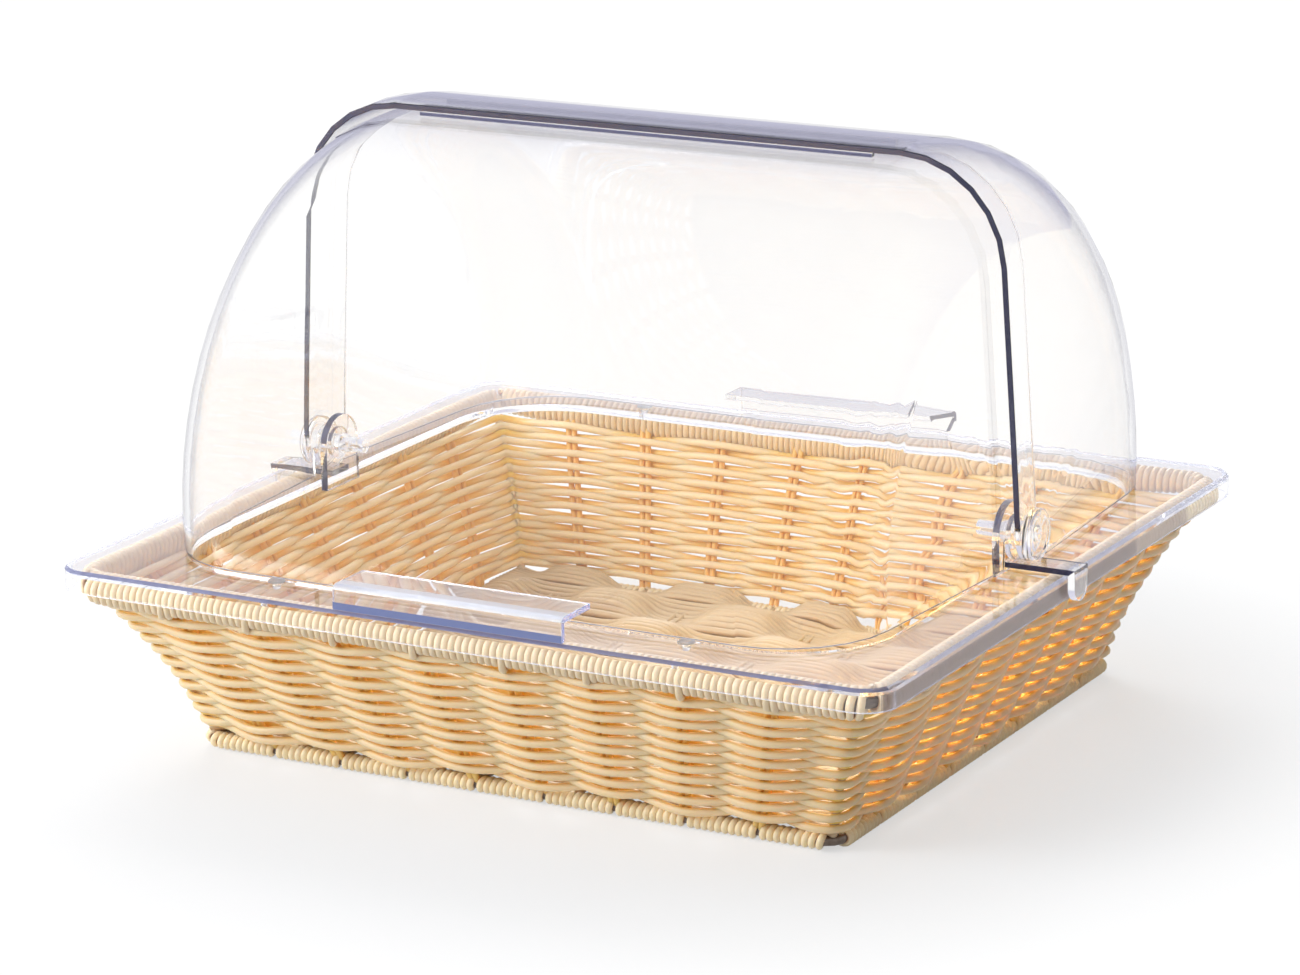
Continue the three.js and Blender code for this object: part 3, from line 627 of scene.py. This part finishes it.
# %% [markdown]
# The foot is wound bay by bay: ten turns, then a dark gap where the stakes come down, and bare
# wire round each corner except at the front left. The rim's spiral makes it too, with a thinner
# strand and an end in every bay.

# %% Foot winding
FOOT_STRAND = 1.45 * MM
FOOT_PITCH = 2.85 * MM
FOOT_UP = 1.95 * MM
FOOT_BAY_GAP = 0.026
FOOT_CORNER_GAPS = dict(zip(CORNERS.tolist(), (0.12, 0.12, 0.12, 0.03, 0.12)))


def foot_line(bay):
    return hoop_line(bay, FOOT_HALF, FOOT_CORNER, FOOT_AXIS)


def foot_drop(bay):
    return np.full(len(bay), FOOT_UP)


for side, name in enumerate(SIDE_NAMES):
    routes = []
    for bay in range(CORNERS[side], CORNERS[side + 1]):
        start = bay + FOOT_CORNER_GAPS.get(bay, FOOT_BAY_GAP)
        end = bay + 1 - FOOT_CORNER_GAPS.get(bay + 1, FOOT_BAY_GAP)
        routes.append(winding(
            start, end, FOOT_PITCH, foot_line, FOOT_WIDTH / 2 - FOOT_STRAND, FOOT_UP, foot_drop,
        ))
    add_strands(f"foot_wrap_{name}", routes, FOOT_STRAND, cane_foot, f"foot_winding_{name}")

# %% [markdown]
# The floor is woven too. Its strands run from side to side in bands of nine or ten that rise and
# fall together over the stakes, and each band does the opposite of the next, which makes pillows.
# A sheet with a displaced surface could swell like that, but the fine dark lines between strands
# come only from real ones, with shade painted on their hidden sides as well. The valleys between
# the pillows get painted shade too.

# %% Floor strands
FLOOR_HALF_X = 136 * MM
FLOOR_HALF_Y = 119 * MM
FLOOR_RADIUS = 1.48 * MM
FLOOR_PITCH = 2.8 * MM
FLOOR_STEPS = 130
FLOOR_BAND = 26.5 * MM
FLOOR_WAVE = 3.4 * MM
FLOOR_WAVE_FLATNESS = 1.7
FLOOR_MIDDLE = 7.6 * MM
LEAST_CROWN = 0.12
FLOOR_EDGE = 14 * MM
FLOOR_WANDER = 0.25 * MM
FLOOR_WANDER_LENGTH = 23 * MM
FLOOR_OPEN, FLOOR_OPEN_SWING = 0.55, 0.45
UPWARD = [0.0, 0.0, 1.0]
floor_bay = 2 * FOOT_HALF[0] / BAYS[FRONT]


def floor_strand(number, count):
    along = np.linspace(-FLOOR_HALF_X, FLOOR_HALF_X, FLOOR_STEPS)
    across = -FLOOR_HALF_Y + 2 * FLOOR_HALF_Y * number / (count - 1)
    band, place = divmod(across / FLOOR_BAND, 1)
    crown = LEAST_CROWN + (1 - LEAST_CROWN) * math.sin(math.pi * place)
    edge = np.clip((FLOOR_HALF_X - np.abs(along)) / FLOOR_EDGE, 0, 1)
    swing = FLOOR_WAVE_FLATNESS * (-1) ** band * np.sin(math.pi * along / floor_bay)
    wave = np.tanh(swing) / math.tanh(FLOOR_WAVE_FLATNESS)
    height = FLOOR_MIDDLE + FLOOR_WAVE * crown * wave * edge
    wander = FLOOR_WANDER * np.sin(along / FLOOR_WANDER_LENGTH + dice.uniform(*WAVE_START))
    points = np.column_stack([along, across + wander, height])
    # Painted shade: the openness is lower in a pillow's valley, so the material darkens it there.
    return points, np.tile(UPWARD, (FLOOR_STEPS, 1)), False, FLOOR_OPEN + FLOOR_OPEN_SWING * crown * wave


floor_count = round(2 * FLOOR_HALF_Y / FLOOR_PITCH) + 1
floor_routes = [floor_strand(k, floor_count) for k in range(floor_count)]
add_strands("floor_strands", floor_routes, FLOOR_RADIUS, cane_floor, "woven_floor", sides=8)

# %% [markdown]
# The floor's strands bend over and under stakes that run from front to back, as long as the floor
# is deep. The strands do all the bending, so these stakes stay straight.

# %% Floor stakes
FLOOR_STAKE_RADIUS = 1.1 * MM
FLOOR_STAKE_SPREAD = 1.9 * MM
FLOOR_STAKE_HEIGHT = FLOOR_MIDDLE - 2.6 * MM
FLOOR_STAKE_STEPS = 40
# How open a floor stake counts as, which sets how much painted shade it gets.
FLOOR_STAKE_OPENNESS = 0.3


def floor_stake(x):
    along = np.linspace(-FLOOR_HALF_Y, FLOOR_HALF_Y, FLOOR_STAKE_STEPS)
    points = np.column_stack([
        np.full(FLOOR_STAKE_STEPS, x), along, np.full(FLOOR_STAKE_STEPS, FLOOR_STAKE_HEIGHT),
    ])
    return points, np.tile(UPWARD, (FLOOR_STAKE_STEPS, 1)), False, FLOOR_STAKE_OPENNESS


floor_stakes = [
    floor_stake(-FOOT_HALF[0] + k * floor_bay + side * FLOOR_STAKE_SPREAD)
    for k in range(1, BAYS[FRONT]) for side in (-1, 1)
]
add_strands("floor_stakes", floor_stakes, FLOOR_STAKE_RADIUS, cane_floor, sides=8)

# %% [markdown]
# Under the strands is a frame of steel wire: a hoop in the rim, a hoop in the foot and a post at
# each corner. The hoops show only where the winding leaves the corners bare. The posts are bound
# with cane, which is what shows between the rows. An even metal would look new, so noise mixes two
# greys and changes how rough the wire is.

# %% Wire frame
STEEL_MARKS = 400.0
STEEL_LIGHT = linear(128, 116, 106)
STEEL_DARK = linear(76, 66, 60)


def steel_material():
    material, tree = empty_material("bare_steel")
    place = add_node(tree, "ShaderNodeTexCoord").outputs["Object"]
    marks = add_node(tree, "ShaderNodeTexNoise", {
        "Vector": place, "Scale": STEEL_MARKS, "Detail": 4.0,
    }).outputs[0]
    shader = add_node(tree, "ShaderNodeBsdfPrincipled", {
        "Base Color": mix_colours(tree, marks, STEEL_LIGHT, STEEL_DARK),
        "Metallic": 1.0, "Roughness": spread(tree, marks, bottom=0.25, top=0.5),
    })
    add_node(tree, "ShaderNodeOutputMaterial", {"Surface": shader.outputs[0]})
    return material


HOOP_RADIUS = 2 * MM
HOOP_STEPS_PER_BAY = 8
POST_RADIUS = 1.9 * MM
POST_INWARD = 1.4 * MM
POST_STEPS = 12
# Below zero, so the outer side of a post, which shows between the rows, gets more painted shade.
POST_OPENNESS = -0.2


def hoop(line):
    points, out = line(np.arange(ALL_BAYS * HOOP_STEPS_PER_BAY) / HOOP_STEPS_PER_BAY)
    return points, out, True, 1.0


def post(corner):
    height = np.linspace(FOOT_AXIS, RIM_AXIS, POST_STEPS)
    points, normals = on_wall(float(corner), height, -POST_INWARD)
    return points, normals, False, POST_OPENNESS


add_strands("frame_hoops", [hoop(rim_line), hoop(foot_line)], HOOP_RADIUS, steel_material(),
            "wire_frame", sides=12, slot="frame_wire")
add_strands("corner_posts", [post(corner) for corner in CORNERS[:4]], POST_RADIUS, cane_bound,
            sides=12)

# %% [markdown]
# The cover is moulded clear plastic. A transparent shader would be quick, but it neither bends nor
# mirrors anything, so the plastic is glass to the shader, with a real thickness. Lamps have to
# shine through it, so rays that look for a lamp pass straight through. Where a sheet turns away
# from the eye one looks through more of it, and its colour is mixed towards a blue-grey: partly the
# plastic's own faint tint, and partly a painted dark outline, which stands for the darker
# surroundings that the sheet bends into view there.

# %% Clear plastic
SHADOW = (0.97, 0.972, 0.98, 1.0)
EDGE_SHADOW = (0.9, 0.9, 0.92, 1.0)
FROSTED_SHADOW = (0.85, 0.86, 0.9, 1.0)


def let_lamps_through(tree, shader, colour):
    through = add_node(tree, "ShaderNodeBsdfTransparent", {"Color": colour})
    path = add_node(tree, "ShaderNodeLightPath")
    mixed = mix_shaders(tree, path.outputs["Is Shadow Ray"], shader, through.outputs[0])
    add_node(tree, "ShaderNodeOutputMaterial", {"Surface": mixed})


def clear_material(name, tint, grazing, start, roughness=0.01, shadow=SHADOW, shine=0.5):
    """Clear plastic that goes from tint to grazing as a face turns away from the eye by start."""
    material, tree = empty_material(name)
    # Painted shade: the colour turns towards the grazing colour as a face turns from the eye, which
    # darkens the outline.
    facing = add_node(tree, "ShaderNodeLayerWeight", {"Blend": 0.5}).outputs["Facing"]
    turned = spread(tree, facing, low=start, smooth=True)
    shader = add_node(tree, "ShaderNodeBsdfPrincipled", {
        "Base Color": mix_colours(tree, turned, tint, grazing), "Roughness": roughness,
        "IOR": PLASTIC_IOR, "Transmission Weight": 1.0, "Specular IOR Level": shine,
    })
    let_lamps_through(tree, shader.outputs[0], shadow)
    return material


# %% [markdown]
# Light runs along inside a clear sheet and comes out where the sheet ends, so a cut edge is dark
# blue from outside while the sheet itself is clear. Glass would show this by itself only with far
# more bounces than a render has. So each kind of edge gets its own colour, and another one for
# rays that meet it from within the sheet.

# %% Edges of the plastic
EDGE_ROUGHNESS = 0.12


def edge_material(name, outside, inside):
    """Seen from outside a sheet its edge has one colour, and from within the sheet another."""
    material, tree = empty_material(name)
    shaders = []
    for colour, weight in (outside, inside):
        shaders.append(add_node(tree, "ShaderNodeBsdfPrincipled", {
            "Base Color": colour, "Roughness": EDGE_ROUGHNESS, "IOR": PLASTIC_IOR,
            "Transmission Weight": weight,
        }).outputs[0])
    behind = add_node(tree, "ShaderNodeNewGeometry").outputs["Backfacing"]
    let_lamps_through(tree, mix_shaders(tree, behind, *shaders), EDGE_SHADOW)
    return material


# %% [markdown]
# All parts of the cover are the same plastic, but they differ in thickness, in how they were
# moulded and in what they mirror, and much of the difference is painted light and shade. The
# shells are clear from the front with a painted dark blue outline, the frame's painted outline is
# paler, and the bumpers are frosted. One material for all would be simpler, but too even.

# %% Finishes of the plastic
clear = clear_material("clear_plastic", WHITE, (0.5, 0.52, 0.66, 1.0), start=0.55)
clear_shell = clear_material(
    "clear_plastic_shell", WHITE, (0.03, 0.03, 0.13, 1.0), start=0.56, shine=0.1,
)
clear_frame = clear_material(
    "clear_plastic_frame", WHITE, (0.6, 0.6, 0.7, 1.0), start=0.62, shine=0.3,
)
# Painted shade: the skirt on the right is tinted grey and less clear, as it looks dark over the shaded
# winding behind it, darker towards the front.
side_face = clear_material(
    "clear_plastic_side", (0.46, 0.42, 0.46, 1.0), (0.4, 0.38, 0.44, 1.0),
    start=0.62, roughness=0.18,
)
side_face_behind = clear_material(
    "clear_plastic_side_behind", (0.7, 0.67, 0.71, 1.0), (0.56, 0.54, 0.62, 1.0),
    start=0.62, roughness=0.08,
)
frosted = clear_material(
    "frosted_plastic", (0.9, 0.93, 0.98, 1.0), (0.8, 0.84, 0.94, 1.0),
    start=0.5, roughness=0.4, shadow=FROSTED_SHADOW,
)
# Painted light and shade of the plastic's edges: dark and blue where light leaves cut edges, pale along
# the skirt's foot, a painted highlight on the frame's right rounding, and a painted white highlight on
# the grip's shelf.
cut_edge = edge_material("cut_edge", (linear(90, 92, 134), 0.35), (WHITE, 1.0))
rib_edge = edge_material("rib_edge", (linear(112, 114, 158), 0.5), (WHITE, 1.0))
front_edge = edge_material(
    "front_edge", (linear(122, 126, 164), 0.35), (linear(160, 162, 196), 0.6),
)
highlight_edge = edge_material(
    "highlight_edge", (linear(214, 214, 226), 0.7), (linear(232, 232, 240), 0.85),
)
pale_edge = edge_material("pale_edge", (linear(222, 226, 238), 0.2), (linear(222, 226, 240), 0.2))
dark_edge = edge_material("dark_edge", (linear(58, 58, 96), 0.25), (linear(58, 58, 96), 0.25))
blue_band = edge_material("blue_band", (linear(112, 126, 176), 0.1), (linear(130, 144, 200), 0.3))
shelf_highlight = edge_material("painted_shelf_highlight", (linear(228, 234, 246), 0.45), (linear(240, 244, 250), 0.9))
clear_materials = (
    clear, clear_shell, clear_frame, side_face, side_face_behind, frosted, cut_edge, rib_edge,
    front_edge, highlight_edge, pale_edge, dark_edge, blue_band, shelf_highlight,
)
print("clear plastic:", [material.name for material in clear_materials])

# %% [markdown]
# No moulded part has a perfectly sharp edge, and the small rounding is what catches the light. It
# could be modelled face by face; a bevel modifier makes it in one step. The bevel needs whole
# faces to work on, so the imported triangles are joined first.

# %% Soft edges
SAME_POINT = 0.01 * MM
SAME_PLANE = math.radians(0.5)
SHARP = math.radians(35)
FINE_ROUND = 0.25 * MM
RIB_ROUND = 0.3 * MM
GRIP_ROUND = 0.4 * MM
SHEET_ROUND = 0.5 * MM


def add_soft_edges(piece, width):
    """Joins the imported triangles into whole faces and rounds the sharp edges.

    The last modifier lets the large faces keep their own direction, so that flat sheets stay flat
    to look through and only the small rounding faces bend the light.
    """
    weld = piece.modifiers.new("join_points", "WELD")
    weld.merge_threshold = SAME_POINT
    flat = piece.modifiers.new("whole_faces", "DECIMATE")
    flat.decimate_type = "DISSOLVE"
    flat.angle_limit = SAME_PLANE
    flat.delimit = {"MATERIAL"}
    bevel = piece.modifiers.new("soft_edges", "BEVEL")
    bevel.width = width
    bevel.segments = 2
    bevel.limit_method = "ANGLE"
    bevel.angle_limit = SHARP
    even = piece.modifiers.new("flat_sheets", "WEIGHTED_NORMAL")
    even.mode = "FACE_AREA"
    even.weight = 100


# %% [markdown]
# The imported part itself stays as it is, and a copy stands in for it. The copy moves with the same
# body. Its faces get different materials, and where a finish ends in the middle of a face, a
# plane splits the face first.

# %% Copies of the clear parts
def split_faces(mesh, axis, distance):
    """Splits the faces of a mesh along the plane across an axis at a distance from the middle."""
    direction = Vector([float(axis == k) for k in range(3)])
    work = bmesh.new()
    work.from_mesh(mesh)
    bmesh.ops.bisect_plane(
        work, geom=work.verts[:] + work.edges[:] + work.faces[:],
        plane_co=direction * distance, plane_no=direction,
    )
    work.to_mesh(mesh)
    work.free()


def clear_copy(node, width, sheet, places, cuts=()):
    """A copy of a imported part. A face gets the material of the first test in places it passes.

    cuts are planes, as (axis, distance), that split the faces so that a test can part them there.
    """
    mesh = nodes[node].data.copy()
    mesh.name = f"{node}_sheet"
    for axis, distance in cuts:
        split_faces(mesh, axis, distance)
    mesh.materials.clear()
    for material in (sheet, *(material for material, _ in places)):
        mesh.materials.append(material)
    for face in mesh.polygons:
        face.use_smooth = True
        passed = [test(face.center, face.normal) for _, test in places]
        face.material_index = passed.index(True) + 1 if True in passed else 0
    piece = bpy.data.objects.new(f"{node}_sheet", mesh)
    bpy.context.scene.collection.objects.link(piece)
    body = next(name for name, members in frame["record"]["behaviour"]["bodies"].items()
                if node in members)
    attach(piece, body)
    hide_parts(node)
    add_soft_edges(piece, width)
    return piece


# %% [markdown]
# Each test below picks faces of a clear part by where they are and which way they look. A part of
# a normal is 1 where the face looks straight along that axis and 0 where it lies along it. An edge
# shows more of the plastic's colour than a sheet does and gets painted light and shade as well, and
# the skirt on the right is tinted grey as painted shade over the shaded winding behind it.

# %% Tests for faces
SQUARE, MOSTLY, SLOPING, BARELY = 0.9, 0.8, 0.3, 0.2
GRIP_LOW, GRIP_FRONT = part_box("front_grip")[0].z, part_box("front_grip")[0].y
GRIP_BAND_TOP = GRIP_LOW + 3 * MM
GRIP_PLATE = 2.5 * MM
GRIP_SKIN = 0.1 * MM
SHELF_HIGHLIGHT_END = GRIP_FRONT + 7 * MM
FRAME_TOP, FRAME_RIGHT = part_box("cover_frame")[1].z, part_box("cover_frame")[1].x
FRAME_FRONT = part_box("cover_frame")[0].y
ROUNDING_LOW = FRAME_TOP - 1.2 * MM
BORDER = 8 * MM
SKIRT_TOP = FRAME_TOP - 1 * MM
SKIRT_LOW = FRAME_TOP - 7 * MM
SKIRT_INNER = FRAME_RIGHT - 4 * MM
SKIRT_DARK = 60 * MM
SKIRT_HALF_DARK = 110 * MM
ARM_TOP = 81.3 * MM
ARM_END = FRAME_RIGHT - 1 * MM
HINGE_HEIGHT = frame["joints"][1]["pos_m"][2]


def across_turn(centre, normal):
    """True for a face of a shell that looks along the way the shell turns: a cut edge."""
    arm = Vector((0, centre.y, centre.z - HINGE_HEIGHT))
    way = Vector((0, -arm.z, arm.y)).normalized()
    return abs(normal.dot(way)) > 0.5


def grip_band(centre, normal):
    """The lowest part of a grip's plate, where light that runs along the plate comes out."""
    from_middle = abs(centre.y) - abs(GRIP_FRONT)
    below = normal.z < -SQUARE
    outer = abs(normal.y) > SQUARE and from_middle > -GRIP_SKIN
    return centre.z < GRIP_BAND_TOP and from_middle > -GRIP_PLATE and (below or outer)


# Faces that get the painted white highlight on the grip's shelf.
def shelf_bend(centre, normal):
    """The bend between the grip's shelf and its plate, and the first part of the shelf."""
    return normal.z > SLOPING and centre.y < SHELF_HIGHLIGHT_END


def grip_end(centre, normal):
    return abs(normal.x) > SQUARE


def top_rounding(centre, normal):
    return centre.z > ROUNDING_LOW and normal.z < SQUARE


def front_rounding(centre, normal):
    return top_rounding(centre, normal) and centre.y < FRAME_FRONT + BORDER and normal.y < -BARELY


# The frame's right rounding, which gets the painted highlight.
def side_rounding(centre, normal):
    return top_rounding(centre, normal) and centre.x > FRAME_RIGHT - BORDER


def skirt_foot(centre, normal):
    return centre.z < SKIRT_LOW and normal.z < -SQUARE


def right_skirt(centre, normal):
    return centre.x > SKIRT_INNER and abs(normal.x) > MOSTLY and centre.z < SKIRT_TOP


# Faces of the skirt on the right that get painted shade, darker towards the front.
def dark_skirt(centre, normal):
    return right_skirt(centre, normal) and centre.y < SKIRT_DARK


def half_dark_skirt(centre, normal):
    return right_skirt(centre, normal) and centre.y < SKIRT_HALF_DARK


def arm_edge(centre, normal):
    return centre.z < ARM_TOP and abs(centre.x) < ARM_END and abs(normal.y) > SQUARE


def ear_rim(centre, normal):
    return centre.z > HINGE_HEIGHT and abs(normal.x) < SLOPING and normal.z > BARELY


# %% [markdown]
# The two shells and their ribs have painted dark cut edges. The front grip shows a painted blue
# band along its lower edge and a painted white highlight on the shelf above it, as in the
# photograph. Pins, washers and bumpers are too small for this: they keep their packed faces and
# get one material each, and the pins and washers soft edges as well.

# %% Clear pieces
DEPTH, HEIGHT = 1, 2
for shell in ("front_shell", "back_shell"):
    clear_copy(shell, SHEET_ROUND, clear_shell, [(cut_edge, across_turn)])
for rib in ("front_stop_rib", "back_stop_rib"):
    clear_copy(rib, RIB_ROUND, clear, [(rib_edge, across_turn)])
front_grip = clear_copy(
    "front_grip", GRIP_ROUND, clear, [(blue_band, grip_band), (shelf_highlight, shelf_bend)],
    [(HEIGHT, GRIP_BAND_TOP), (DEPTH, SHELF_HIGHLIGHT_END)],
)
clear_copy("back_grip", GRIP_ROUND, clear, [(cut_edge, grip_end)])
cover_frame = clear_copy("cover_frame", SHEET_ROUND, clear_frame, [
    (front_edge, front_rounding), (highlight_edge, side_rounding), (pale_edge, skirt_foot),
    (side_face, dark_skirt), (side_face_behind, half_dark_skirt),
], [(HEIGHT, ROUNDING_LOW), (DEPTH, SKIRT_DARK), (DEPTH, SKIRT_HALF_DARK)])
for bracket in ("hinge_bracket_left", "hinge_bracket_right"):
    clear_copy(bracket, FINE_ROUND, clear, [(dark_edge, arm_edge), (cut_edge, ear_rim)])

for name in ("hinge_pin_left", "hinge_pin_right", "hinge_washer_left", "hinge_washer_right"):
    nodes[name].material_slots[0].material = clear
    add_soft_edges(nodes[name], FINE_ROUND)
for name in ("bumper_front_left", "bumper_front_right", "bumper_back_left", "bumper_back_right"):
    nodes[name].material_slots[0].material = frosted

# %% [markdown]
# The basket stands on a white table. Plain white paint would turn grey with distance, and a table
# that only glows would take no shadow. So close to the basket the table is really lit, and further
# out it fades to pure white, as a photographer's sweep does.

# %% Table
SEEN_WHITE = 1.04
TABLE_HALF = 12.0
TABLE_BELOW = 0.2 * MM
FADE_START = 0.18
FADE_END = 0.355
LEAST_WHITE = 0.57
TABLE_COLOUR = (0.85, 0.88, 0.93, 1.0)


def table_material():
    material, tree = empty_material("white_sweep")
    place = add_node(tree, "ShaderNodeTexCoord").outputs["Object"]
    far = add_node(tree, "ShaderNodeVectorMath", {0: place}, operation="LENGTH").outputs["Value"]
    fade = spread(tree, far, FADE_START, FADE_END, bottom=LEAST_WHITE, smooth=True)
    lit = add_node(tree, "ShaderNodeBsdfDiffuse", {"Color": TABLE_COLOUR})
    white = add_node(tree, "ShaderNodeEmission", {"Color": WHITE, "Strength": SEEN_WHITE})
    path = add_node(tree, "ShaderNodeLightPath").outputs
    seen = calculate(tree, "MAXIMUM", path["Is Camera Ray"], path["Is Glossy Ray"])
    seen = calculate(tree, "MAXIMUM", seen, path["Is Transmission Ray"])
    amount = calculate(tree, "MULTIPLY", seen, fade)
    mixed = mix_shaders(tree, amount, lit.outputs[0], white.outputs[0])
    add_node(tree, "ShaderNodeOutputMaterial", {"Surface": mixed})
    return material


table_mesh = bpy.data.meshes.new("table")
table_mesh.from_pydata(
    [(-TABLE_HALF, -TABLE_HALF, 0), (TABLE_HALF, -TABLE_HALF, 0), (TABLE_HALF, TABLE_HALF, 0),
     (-TABLE_HALF, TABLE_HALF, 0)], [], [(0, 1, 2, 3)],
)
table = bpy.data.objects.new("table", table_mesh)
table.location.z = -TABLE_BELOW
table.data.materials.append(table_material())
bpy.context.scene.collection.objects.link(table)
print("the table fades to white from", FADE_START, "to", FADE_END, "metres")

# %% [markdown]
# The room gives even light from all sides but the right, which is darker. It could be a picture
# wrapped round the basket, but a few colours by direction are enough and easy to change. What
# metal and clear plastic reflect is a little greyer overhead and at the back, so that their edges
# can be made out against the white.

# %% Room
ROOM_LIGHT = 0.5
DARK_SIDE = (0.33, 0.28, 0.23, 1.0)
GREY_OVERHEAD = (0.68, 0.69, 0.76, 1.0)
GREY_BEHIND = (0.66, 0.66, 0.79, 1.0)
OVERHEAD_FROM, OVERHEAD_SHARE = 0.7, 0.5
TO_RIGHT = (0.1, 0.9)
TO_BACK = (0.3, 0.8)


def build_room():
    world = bpy.data.worlds.new("room")
    bpy.context.scene.world = world
    world.use_nodes = True
    tree = world.node_tree
    tree.nodes.clear()

    def light(colour, strength):
        node = add_node(tree, "ShaderNodeBackground", {"Color": colour, "Strength": strength})
        return node.outputs[0]

    path = add_node(tree, "ShaderNodeLightPath").outputs
    direction = add_node(tree, "ShaderNodeTexCoord").outputs["Generated"]
    way = add_node(tree, "ShaderNodeSeparateXYZ", {0: direction}).outputs
    overhead = spread(tree, way["Z"], low=OVERHEAD_FROM, top=OVERHEAD_SHARE, smooth=True)
    to_right = spread(tree, way["X"], *TO_RIGHT, smooth=True)
    to_back = spread(tree, way["Y"], *TO_BACK, smooth=True)
    behind = calculate(tree, "MULTIPLY", to_back, path["Is Glossy Ray"])
    mirrored = mix_colours(tree, overhead, WHITE, GREY_OVERHEAD)
    mirrored = light(mix_colours(tree, behind, mirrored, GREY_BEHIND), SEEN_WHITE)
    plain = light(mix_colours(tree, to_right, WHITE, DARK_SIDE), ROOM_LIGHT)
    reflected = calculate(tree, "MAXIMUM", path["Is Glossy Ray"], path["Is Transmission Ray"])
    lit_or_mirror = mix_shaders(tree, reflected, plain, mirrored)
    all_rays = mix_shaders(tree, path["Is Camera Ray"], lit_or_mirror, light(WHITE, 1.0))
    add_node(tree, "ShaderNodeOutputWorld", {"Surface": all_rays})


build_room()
print("room:", len(bpy.context.scene.world.node_tree.nodes), "nodes")

# %% [markdown]
# The lamps light the basket, the table, the cover's frame and the front grip. The rest of the
# cover mirrors only the even room, because a lamp's square reflection on it would hide what is
# behind. Two weak warm lamps inside the basket light only the strands: they stand for the light
# that goes from strand to strand in there.

# %% Lamps
lamp_lit = bpy.data.collections.new("lit_by_lamps")
warm_lit = bpy.data.collections.new("lit_by_the_warm_lamps")
for piece in bpy.data.objects:
    if piece.type != "MESH":
        continue
    used = [slot.material for slot in piece.material_slots]
    if piece in (front_grip, cover_frame) or not any(item in clear_materials for item in used):
        lamp_lit.objects.link(piece)
    if any(item in cane_materials for item in used):
        warm_lit.objects.link(piece)


def softbox(name, place, aim_at, size, power, receivers, colour=(1.0, 1.0, 1.0)):
    lamp = bpy.data.lights.new(name, "AREA")
    lamp.shape = "RECTANGLE"
    lamp.size, lamp.size_y = size
    lamp.energy = power
    lamp.color = colour
    holder = bpy.data.objects.new(name, lamp)
    holder.location = place
    aim = Vector(aim_at) - Vector(place)
    holder.rotation_euler = aim.to_track_quat("-Z", "Y").to_euler()
    holder.light_linking.receiver_collection = receivers
    bpy.context.scene.collection.objects.link(holder)
    return holder


BASKET_MIDDLE = (0, 0, 0.06)
softbox("key", (-1.45, -1.4, 1.05), BASKET_MIDDLE, (1.1, 1.1), 31, lamp_lit)
softbox("behind", (-0.9, 1.4, 1.2), BASKET_MIDDLE, (1.0, 1.0), 22, lamp_lit)
inner = softbox(
    "inner", (0.09, 0, 0.15), (-0.16, 0, 0.03), (0.1, 0.1), 0.1, warm_lit, (1.0, 0.76, 0.46),
)
slots = softbox(
    "slots", (0.085, 0, 0.045), (0.16, 0, 0.042), (0.21, 0.04), 0.17, warm_lit, (1.0, 0.9, 0.64),
)
slots.data.spread = math.radians(90)
for lamp in (inner, slots):
    lamp.visible_camera = False
    lamp.visible_glossy = False
    lamp.visible_transmission = False

# %% [markdown]
# The camera stands where the photographer stood: a little above the rim, turned to the right
# front corner, and far off, so that the sides stay nearly parallel. Setting it by eye would shift
# every edge a little. These numbers come from a fit to the corners of the frame and of the foot.

# %% Camera
TURN = math.radians(29.2775)
RISE = math.radians(15.6644)
ROLL = math.radians(-1.0656)
DISTANCE = 1.8944
LENS = 133.864
SENSOR_WIDTH = 36
AIM_HEIGHT = 0.1041
SHIFT_RIGHT = -0.0040093
SHIFT_UP = -0.0128784

back = Vector((math.sin(TURN) * math.cos(RISE), -math.cos(TURN) * math.cos(RISE), math.sin(RISE)))
right = Vector((0, 0, 1)).cross(back).normalized()
up = back.cross(right)
right_rolled = math.cos(ROLL) * right + math.sin(ROLL) * up
up_rolled = -math.sin(ROLL) * right + math.cos(ROLL) * up
aim_point = Vector((0, 0, AIM_HEIGHT)) + right_rolled * SHIFT_RIGHT + up_rolled * SHIFT_UP
camera_data = bpy.data.cameras.new("camera")
camera_data.lens = LENS
camera_data.sensor_width = SENSOR_WIDTH
camera = bpy.data.objects.new("camera", camera_data)
axes = Matrix((right_rolled, up_rolled, back)).transposed().to_4x4()
camera.matrix_world = Matrix.Translation(aim_point + back * DISTANCE) @ axes
bpy.context.scene.collection.objects.link(camera)
scene = bpy.context.scene
scene.camera = camera
print("camera at", [round(part, 3) for part in camera.matrix_world.translation])

# %% [markdown]
# A ray that is caught in a clear sheet is reflected many times before it comes out at an edge. If
# it were given up earlier, the edge would turn black, so it gets many bounces. Light on cane and
# table needs only a few, which saves time.

# %% Light paths and colour
CLEAR_BOUNCES, SHADOW_BOUNCES, PLAIN_BOUNCES = 36, 32, 5
scene.view_settings.view_transform = "Standard"
scene.cycles.max_bounces = CLEAR_BOUNCES
scene.cycles.transmission_bounces = CLEAR_BOUNCES
scene.cycles.glossy_bounces = CLEAR_BOUNCES
scene.cycles.transparent_max_bounces = SHADOW_BOUNCES
scene.cycles.diffuse_bounces = PLAIN_BOUNCES

# %% [markdown]
# The finished basket has to be as large as the imported model. The last cell only brings the
# scene up to date.

# %% End
bpy.context.view_layer.update()
